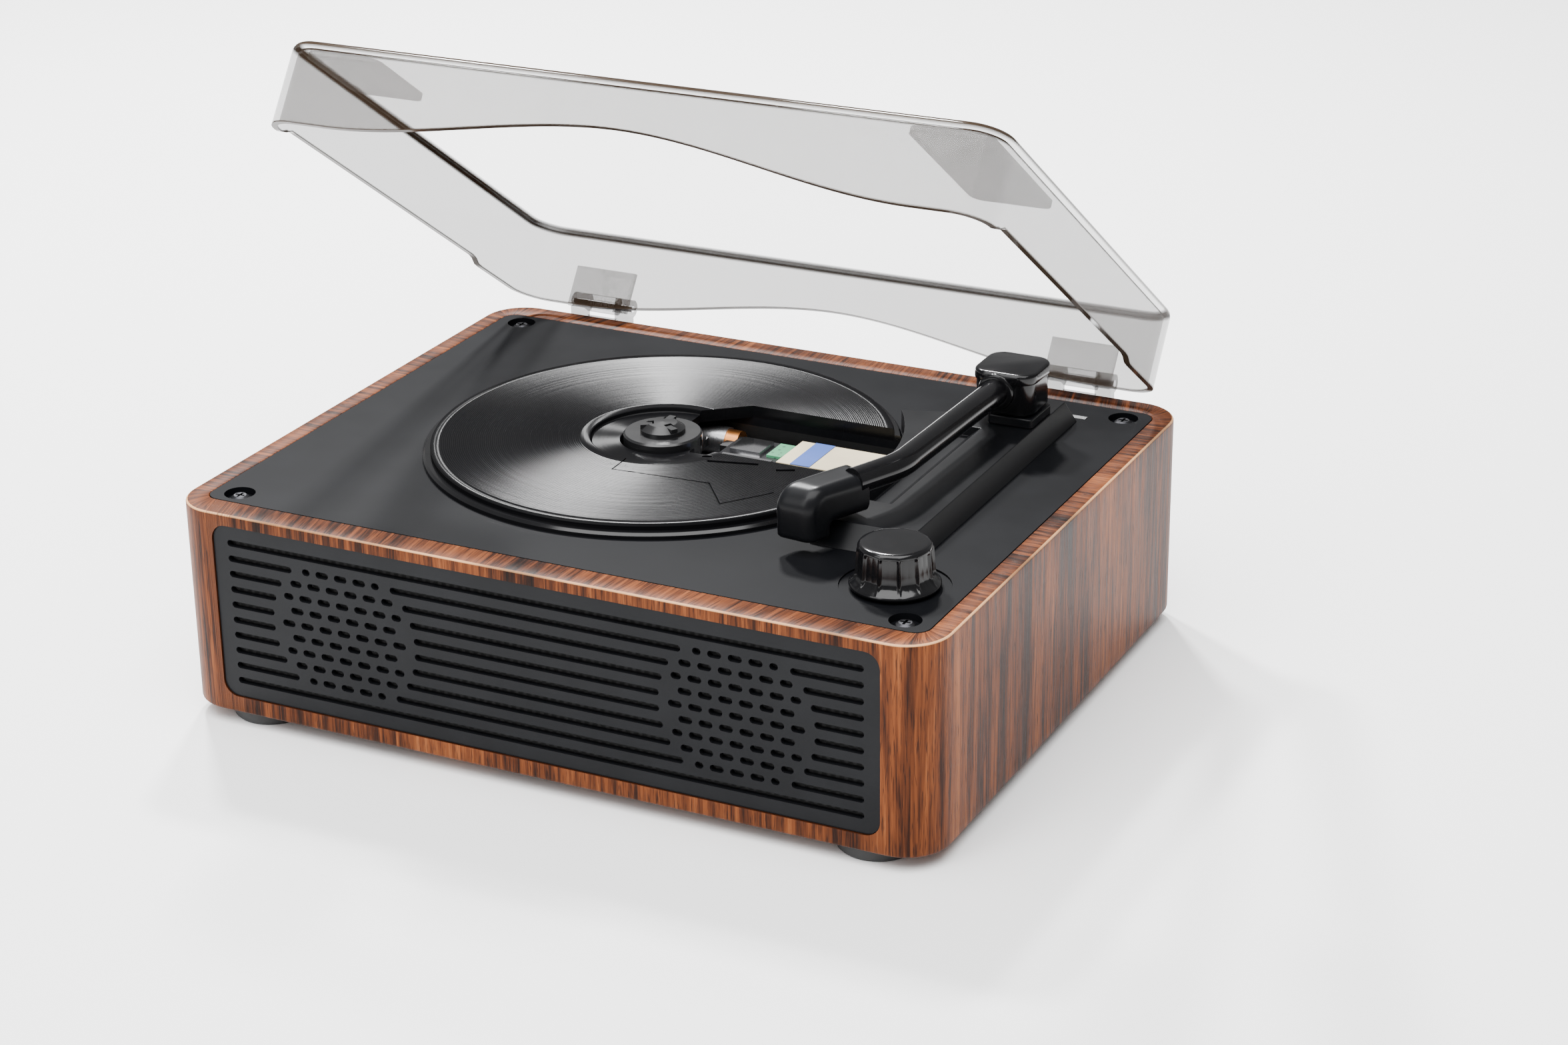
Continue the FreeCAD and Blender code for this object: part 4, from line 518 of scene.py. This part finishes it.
def scribe(start, end, width, depth):
    """A narrow bar that cuts one straight engraved line into the cover."""
    start, end = np.array(start) * MM, np.array(end) * MM
    along = (end - start) / np.linalg.norm(end - start)
    side = np.array([-along[1], along[0]]) * width / 2
    start, end = start - along * width / 2, end + along * width / 2
    ring = np.array([start - side, end - side, end + side, start + side]) + np.array([0, case_middle])
    return upright_bar(ring, top_z - depth, top_z + 2 * MM)


panel_line = [(-13.2, -13.1), (-12.7, -30.5), (20.9, -28.2), (31.7, -41.9), (43, -26.9)]
lines = [scribe(a, b, 0.5 * MM, 0.45 * MM) for a, b in zip(panel_line, panel_line[1:])]
lines += [scribe(a, b, 1.5 * MM, 0.9 * MM) for a, b in
          (((5.4, -10.4), (10.7, -8)), ((12.5, -11.6), (27.4, -8)), ((36.1, -9.6), (40.3, -7.7)))]
record = carve(record, [window, *lines])


def vinyl():
    """Black moulded record face: its gloss runs in rings, so light draws out into spokes."""
    paint = Paint("record_black", (0.004, 0.004, 0.005), 0.34, Anisotropic=1.0, Specular_IOR_Level=0.11)
    flat = paint.node("ShaderNodeMapping", {}, {"Vector": paint.coordinates(), "Scale": (1, 1, 0),
                                                "Location": (-spindle[0], -spindle[1], 0)}).outputs[0]
    length = paint.node("ShaderNodeVectorMath", {"operation": "LENGTH"}, {0: flat})
    radius = Level(paint, length.outputs["Value"])
    bands = paint.noise(paint.node("ShaderNodeCombineXYZ", {}, {"X": radius}).outputs[0], 900, 4, 0.7)
    paint.feed("Roughness", 0.23 + 0.12 * bands)
    paint.feed("Base Color", paint.blend(bands, (0.002, 0.002, 0.0025), (0.004, 0.004, 0.0045)))
    paint.bump(bands, 0.25, 0.00008)
    return paint.material


finish_piece("record_cover", record, "cabinet", vinyl(), ["disc_cover"], 28)
gloss_black = moulded("gloss_black", (0.003, 0.003, 0.0035), 0.15, 1500, 0.02, Specular_IOR_Level=0.3)
dress(gloss_black, "cover_ring")


# ---- Disc mechanism ------------------------------------------------------------------
# A black well under the window. In it a steel chassis on soft grommets carries the spindle
# motor, two polished rods and the pickup sled with its lens, coils, board and flat cable.

dress(moulded("well_black", (0.004, 0.004, 0.004), 0.55, Specular_IOR_Level=0.25), "mechanism_well")
dress(moulded("chassis_steel", (0.012, 0.012, 0.013), 0.35), "mechanism_chassis")
dress(metal("polished_rod", (0.75, 0.75, 0.77), 0.12, (0.05, 1, 1)), "guide_rods", "feed_screw")
dress(metal("motor_can", (0.62, 0.62, 0.64), 0.3), "spindle_motor", "feed_motor")
dress(metal("copper", (0.85, 0.34, 0.10), 0.35, (0.05, 1, 1)), "feed_motor_winding")
dress(moulded("sled_black", (0.015, 0.015, 0.016), 0.2, 1500, 0.05, Coat_Weight=0.4),
      "pickup_sled", "lens_holder")
dress(metal("pickup_metal", (0.82, 0.82, 0.84), 0.1), "actuator_frame", "laser_housing")


def circuit(name, colour, trace):
    """Lacquered board with slightly raised copper tracks in a blocky pattern."""
    paint = Paint(name, colour, 0.35, Coat_Weight=0.4)
    tracks = paint.node("ShaderNodeTexVoronoi", {"distance": "MANHATTAN"},
                        {"Vector": paint.coordinates(), "Scale": 480})
    level = Level(paint, tracks.outputs["Distance"]).ease(0.28, 0.42)
    paint.feed("Base Color", paint.blend(level, colour, trace))
    paint.bump(level, 0.2, 0.00005)
    return paint.material


dress(circuit("board_green", (0.012, 0.10, 0.045), (0.05, 0.26, 0.12)), "sled_board", "main_board")
glass = Paint("lens_glass", (0.35, 0.42, 0.75), 0.03, Alpha=0.75, Coat_Weight=1.0)
glass.feed("Base Color", glass.blend(glass.facing(0.4), (0.20, 0.10, 0.45), (0.10, 0.45, 0.55)))
dress(glass.material, "objective_lens")
dress(moulded("cable_film", (0.52, 0.44, 0.29), 0.4), "flex_cable")
dress(moulded("stiffener_blue", (0.008, 0.06, 0.30), 0.4), "cable_stiffener")
dress(moulded("connector_white", (0.78, 0.74, 0.64), 0.45), "cable_connector")
hub_finish = moulded("hub_black", (0.006, 0.006, 0.0065), 0.26, 2000, 0.05)
dress(hub_finish, "spindle_hub", "clamp_jaw_1", "clamp_jaw_2", "clamp_jaw_3")


# ---- Arm -----------------------------------------------------------------------------
# Black mouldings: a satin sloped platform with a trough and a pedestal, a glossy turret and
# bent tube, and a satin rounded head. The arm turns on a steel shaft in a brass bush.

def softened(node, name, width, material, body, steps=4, angle=35):
    """A CAD piece with its hard edges rolled over: its own mesh, merged, flat faces joined and
    every edge sharper than the angle bevelled by the width."""
    mesh = frame["nodes"][node].data.copy()
    work = bmesh.new()
    work.from_mesh(mesh)
    bmesh.ops.remove_doubles(work, verts=work.verts, dist=2e-6)
    bmesh.ops.dissolve_limit(work, angle_limit=math.radians(0.6), verts=work.verts, edges=work.edges)
    work.to_mesh(mesh)
    work.free()
    piece = finish_piece(name, mesh, body, material, [node], angle)
    roll = piece.modifiers.new("rolled_edges", "BEVEL")
    roll.width, roll.segments, roll.harden_normals = width, steps, True
    roll.limit_method, roll.angle_limit = "ANGLE", math.radians(angle)
    return piece


satin_arm = moulded("platform_black", (0.0035, 0.0037, 0.0045), 0.3, 2600, 0.08, Specular_IOR_Level=0.16)
softened("arm_platform", "arm_platform_moulding", 0.7 * MM, satin_arm, "cabinet")
softened("arm_pedestal", "arm_pedestal_moulding", 0.5 * MM, satin_arm, "cabinet")
turret_low, turret_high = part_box("pivot_block")
turret_middle = ((turret_low.x + turret_high.x) / 2, (turret_low.y + turret_high.y) / 2)
turret_half = ((turret_high.x - turret_low.x) / 2, (turret_high.y - turret_low.y) / 2)
turret_corner = 5.6
cap_z = turret_high.z - 3.6 * MM
turret_levels = [(1.2, turret_low.z), (0.8, turret_low.z + 0.2 * MM), (0.6, turret_low.z + 0.6 * MM),
                 (0.6, cap_z - 0.3 * MM), (0.6, cap_z), (0.1, cap_z + 0.1 * MM), (0.0, cap_z + 0.4 * MM),
                 (0.0, turret_high.z - 1.1 * MM), (0.15, turret_high.z - 0.6 * MM),
                 (0.5, turret_high.z - 0.2 * MM), (1.1, turret_high.z)]
turret = stacked("pivot_turret", [
    (outline(*shrunk(turret_half, pull * MM), (turret_corner - pull) * MM, turret_middle, 6, 12)[0], z)
    for pull, z in turret_levels])
finish_piece("pivot_turret", turret, "arm", gloss_black, ["pivot_block"], 40)

boss_profile = [(6.2, 0), (6.2, 1.0), (6.0, 1.5), (5.6, 1.8), (4.2, 1.8)]
boss_x, boss_y, boss_z = turret_middle[0] - 1.6 * MM, turret_low.y + 1.2 * MM, deck_high.z + 19.2 * MM
boss_rings = [circle((boss_x, boss_z), r * MM) for r, _ in boss_profile]
boss = skin("tube_boss", np.array([
    np.column_stack([ring[:, 0], np.full(len(ring), boss_y - out * MM), ring[:, 1]])
    for ring, (_, out) in zip(boss_rings, boss_profile)]))
finish_piece("tube_boss", boss, "arm", gloss_black, [], 40)


def elbow(start, finish, start_way, finish_way, levels, thick, width, corner):
    """A solid elbow: a round-cornered bar that runs level from start to finish along an arc in
    plan and then bends straight down. levels are the heights of its top, of the underside of the
    level part and of the foot; thick is the depth of the part that goes down."""
    top, under, low = levels
    start, finish, start_way, finish_way = (np.array(v) for v in (start, finish, start_way, finish_way))
    reach = float(np.linalg.norm(finish - start)) * 1.01

    def bent(far, bend, level):
        """Travel and height along a line that runs level, turns down at far and drops to the foot."""
        points = [(s, level) for s in np.linspace(0, far - bend, 14)]
        points += [(far - bend + bend * math.sin(a), level - bend + bend * math.cos(a))
                   for a in np.linspace(0, np.pi / 2, 13)[1:]]
        return np.array(points + [(far, z) for z in np.linspace(level - bend, low, 8)[1:]])

    outer, inner = bent(reach, 7.5 * MM, top), bent(reach - thick, 1.6 * MM, under)
    last = len(outer) - 1
    stations = [(0, pull, (-out, 0)) for pull, out in ((1.3, 1.0), (0.5, 0.65), (0.12, 0.15))]
    stations += [(k, 0.0, (0, 0)) for k in range(last + 1)]
    stations += [(last, pull, (0, -out)) for pull, out in ((0.12, 0.2), (0.5, 0.65), (1.3, 1.0))]
    rows = []
    for k, pull, push in stations:
        middle, half = (outer[k] + inner[k]) / 2, (outer[k] - inner[k]) / 2
        size = float(np.linalg.norm(half))
        ring, _ = outline(size - pull * MM, width / 2 - pull * MM, corner - pull * MM, (0, 0), 6, 8)
        travel, z = (middle + np.array(push) * MM)[:, None] + (half / size)[:, None] * ring[:, 0]
        share = np.clip(travel / reach, -0.1, 1.1)[:, None]
        way = start_way * (1 - share) + finish_way * share
        way /= np.linalg.norm(way, axis=1)[:, None]
        control = start + start_way * reach / 2
        path = start * (1 - share) ** 2 + 2 * share * (1 - share) * control + finish * share ** 2
        side = np.stack([-way[:, 1], way[:, 0]], 1)
        rows.append(np.column_stack([path + side * ring[:, 1:], z]))
    return skin("elbow", np.array(rows))


head_low, head_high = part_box("arm_head")
head_start, head_finish = (76.2 * MM, case_middle - 37.4 * MM), (65.8 * MM, case_middle - 60.9 * MM)
head_levels = (head_high.z, deck_high.z + 9.3 * MM, head_low.z + 1.0 * MM)
head_thick, head_width, head_corner = 10.6 * MM, 13.6 * MM, 3.4 * MM
head_mesh = elbow(head_start, head_finish, (-0.45, -0.893), (-0.1, -0.995), head_levels,
                  head_thick, head_width, head_corner)
finish_piece("arm_head_moulding", head_mesh, "arm", satin_arm, ["arm_head"], 40)
dress(gloss_black, "arm_tube")
dress(metal("bush_brass", (0.80, 0.58, 0.26), 0.3), "pivot_bush")


# ---- Volume knob ---------------------------------------------------------------------
# A glossy black knob with twelve broad flutes over a flared foot, pressed on the shaft of
# the potentiometer under the deck.

knob_low, knob_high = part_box("volume_knob")
knob_at = ((knob_low.x + knob_high.x) / 2, (knob_low.y + knob_high.y) / 2)
foot = knob_low.z
facets, facet_depth, body_r = 12, 1.1 * MM, 9.5 * MM
knob_profile = [(3.0, 0), (13.2, 0), (13.7, 0.2), (13.9, 0.6), (13.85, 1.1), (13.5, 1.6), (13.0, 2.1),
                (12.6, 2.7), (12.3, 3.4), (12.1, 4.4), (11.9, 6.5), (11.75, 9.0), (11.6, 11.0), (11.5, 11.9),
                (11.4, 12.3), (11.2, 12.9), (10.8, 13.5), (10.2, 13.8), (9.4, 13.9), (6, 13.9), (3, 13.9),
                (0.4, 13.9)]


def fluted(radius, height, turn):
    """Radii pinched into twelve broad hollow facets with a thin rib between each two; the facets
    run out over the flared foot and stop under the cap."""
    above_foot = np.clip((height - foot - 1.4 * MM) / (2.2 * MM), 0, 1)
    below_cap = np.clip((foot + 12.4 * MM - height) / (0.5 * MM), 0, 1)
    from_rib = np.abs((turn * facets / (2 * np.pi) + 0.5) % 1 - 0.5)
    hollow = np.clip(from_rib / 0.09, 0, 1) ** 1.5 * (0.75 + 0.5 * from_rib)
    return radius - facet_depth * above_foot * below_cap * hollow * (radius > body_r)


knob_turned = [(r * MM, foot + z * MM) for r, z in knob_profile]
knob_mesh = lathe("volume_knob_moulding", knob_turned, knob_at, fluted)
finish_piece("volume_knob_moulding", knob_mesh, "knob", gloss_black, ["volume_knob"], 50)
dress(metal("pot_zinc", (0.6, 0.6, 0.6), 0.4), "volume_potentiometer", "amplifier_heatsink")


# ---- Front grille and loudspeakers -----------------------------------------------------
# A stamped black front with long slots and two round fields of short ones, black cloth
# behind it, and two paper-coned loudspeakers in pressed steel baskets.

dress(moulded("grille_black", (0.0045, 0.0048, 0.0058), 0.38, 3000, 0.2, Specular_IOR_Level=0.12),
      "front_grille")
cloth = Paint("black_cloth", (0.008, 0.008, 0.008), 0.95)
threads = cloth.parts(cloth.coordinates((2200, 2200, 2200)))
weave = threads["X"].wave() * threads["Z"].wave()
cloth.feed("Base Color", cloth.blend(weave.ease(-0.4, 0.8), (0.004, 0.004, 0.004), (0.02, 0.02, 0.02)))
cloth.bump(weave, 0.5, 0.0001)
dress(cloth.material, "grille_cloth")
dress(moulded("speaker_steel", (0.03, 0.03, 0.03), 0.4), "speaker_baskets")
dress(wood_block("speaker_paper", (0.035, 0.035, 0.035), (0.012, 0.012, 0.012)), "speaker_cones")
dress(moulded("ferrite", (0.08, 0.08, 0.08), 0.8, 900, 0.4), "speaker_magnets")


# ---- Electronics and rear sockets -----------------------------------------------------
# The amplifier board stands on four posts of the bottom panel; the sockets are moulded
# black plastic behind a small panel in the back wall.

dress(moulded("component_black", (0.02, 0.02, 0.022), 0.4), "board_components")
dress(moulded("socket_black", (0.012, 0.012, 0.012), 0.35), "power_inlet", "audio_socket")


# ---- Lid -----------------------------------------------------------------------------
# One smoked clear moulding, paler on its broad top than along its walls, with painted shade on
# its lip and rolled top edge, and shallow arches in its front and back walls. Clear tabs hinge it to the
# case.

def smoked(name, clear, wall, edge):
    """Smoked see-through plastic. Its map says how much a place belongs to an edge and to a wall:
    the broad faces are nearly clear, walls denser, and the edges darkened as painted shade, most of all seen
    on the slant."""
    paint = Paint(name, (0.030, 0.020, 0.013), 0.08, Alpha=0.4, Specular_IOR_Level=0.06)
    share = paint.parts(paint.coordinates(source="UV"))
    # Painted shade: the edges are made more opaque, most of all seen on the slant, standing in for light
    # bent away through the plastic's thickness.
    paint.feed("Alpha", clear + wall * share["Y"] + edge * share["X"] * (0.6 + 0.4 * paint.facing(0.5)))
    return paint.material


lid_joint = [joint for joint in frame["joints"] if joint["name"] == "lid_hinge"][0]
lid_axis, lid_open = lid_joint["pos_m"], math.radians(35)
lid_half, lid_deep, lid_tall, lid_wall, lid_corner = 124 * MM, 190 * MM, 28 * MM, 2 * MM, 12 * MM
arch_reach, arch_rise, step_rise = 100 * MM, 11.5 * MM, 2.0 * MM
lid_low = deck_high.z + 0.5 * MM
lid_back = lid_axis[1] - 5 * MM
lid_middle = lid_back - lid_deep / 2


def lip_height(x, y):
    """Rise of the lid's lower edge: a long shallow arch across the front and back walls, and on
    the side walls a small step up between a foot at each corner."""
    share = np.clip((arch_reach - np.abs(x)) / arch_reach, 0, 1)
    arch = arch_rise * share * share * (3 - 2 * share)
    ahead = (y - lid_middle + lid_deep / 2) / lid_deep
    step = np.clip((ahead - 0.07) / 0.02, 0, 1) * np.clip((0.80 - ahead) / 0.03, 0, 1)
    at_end = np.abs(y - lid_middle) > lid_deep / 2 - lid_corner - 1 * MM
    return np.where(at_end, arch, step_rise * step * step * (3 - 2 * step))


def lid_rings(inset, bottom, crown, roll):
    """Rings of the lid's wall from its lip up over the rolled top edge, and each ring's share of
    edge and of wall."""
    rings, shares = [], []
    shoulder = crown - roll
    levels = [(0, bottom, 1, 1), (0, bottom + 0.7 * MM, 0, 1)]
    levels += [(0, bottom + (shoulder - bottom) * s, 0, 1) for s in np.linspace(0.15, 1, 6)]
    levels += [(roll * (1 - math.cos(a)), crown - roll * (1 - math.sin(a)), math.sin(2 * a), math.cos(a))
               for a in np.linspace(0.15, math.pi / 2, 7)]
    for pull, z, on_edge, on_wall in levels:
        ring, _ = outline(lid_half - inset - pull, lid_deep / 2 - inset - pull,
                          max(lid_corner - inset - pull, 1.5 * MM), (0, lid_middle), 60, 10)
        lift = lip_height(ring[:, 0], ring[:, 1]) * np.clip((shoulder - z) / (shoulder - bottom), 0, 1)
        rings.append(np.column_stack([ring, z + lift]))
        shares.append(np.tile((on_edge, on_wall), (len(ring), 1)))
    return rings, shares


outer_rings, outer_shares = lid_rings(0, lid_low, lid_low + lid_tall, 3 * MM)
inner_rings, inner_shares = lid_rings(lid_wall, lid_low, lid_low + lid_tall - lid_wall, 1.6 * MM)
lid_grid = np.array(outer_rings[::-1] + inner_rings)
lid_map = np.array(outer_shares[::-1] + inner_shares)


def opened(points):
    """Points of the shut lid turned up about the hinge axis to where it rests."""
    y, z = points[..., 1] - lid_axis[1], points[..., 2] - lid_axis[2]
    turned = points.copy()
    turned[..., 1] = lid_axis[1] + y * math.cos(lid_open) + z * math.sin(lid_open)
    turned[..., 2] = lid_axis[2] - y * math.sin(lid_open) + z * math.cos(lid_open)
    return turned


finish_piece("lid_moulding", skin("lid_moulding", opened(lid_grid), walk=lid_map), "lid",
             smoked("smoked_clear", 0.07, 0.32, 1.0), ["lid_cover"], 40)
dress(smoked("lid_pad_clear", 0.42, 0, 0), "lid_pads")
dress(smoked("clear_plastic", 0.48, 0, 0), "lid_brackets", "hinge_leaves")
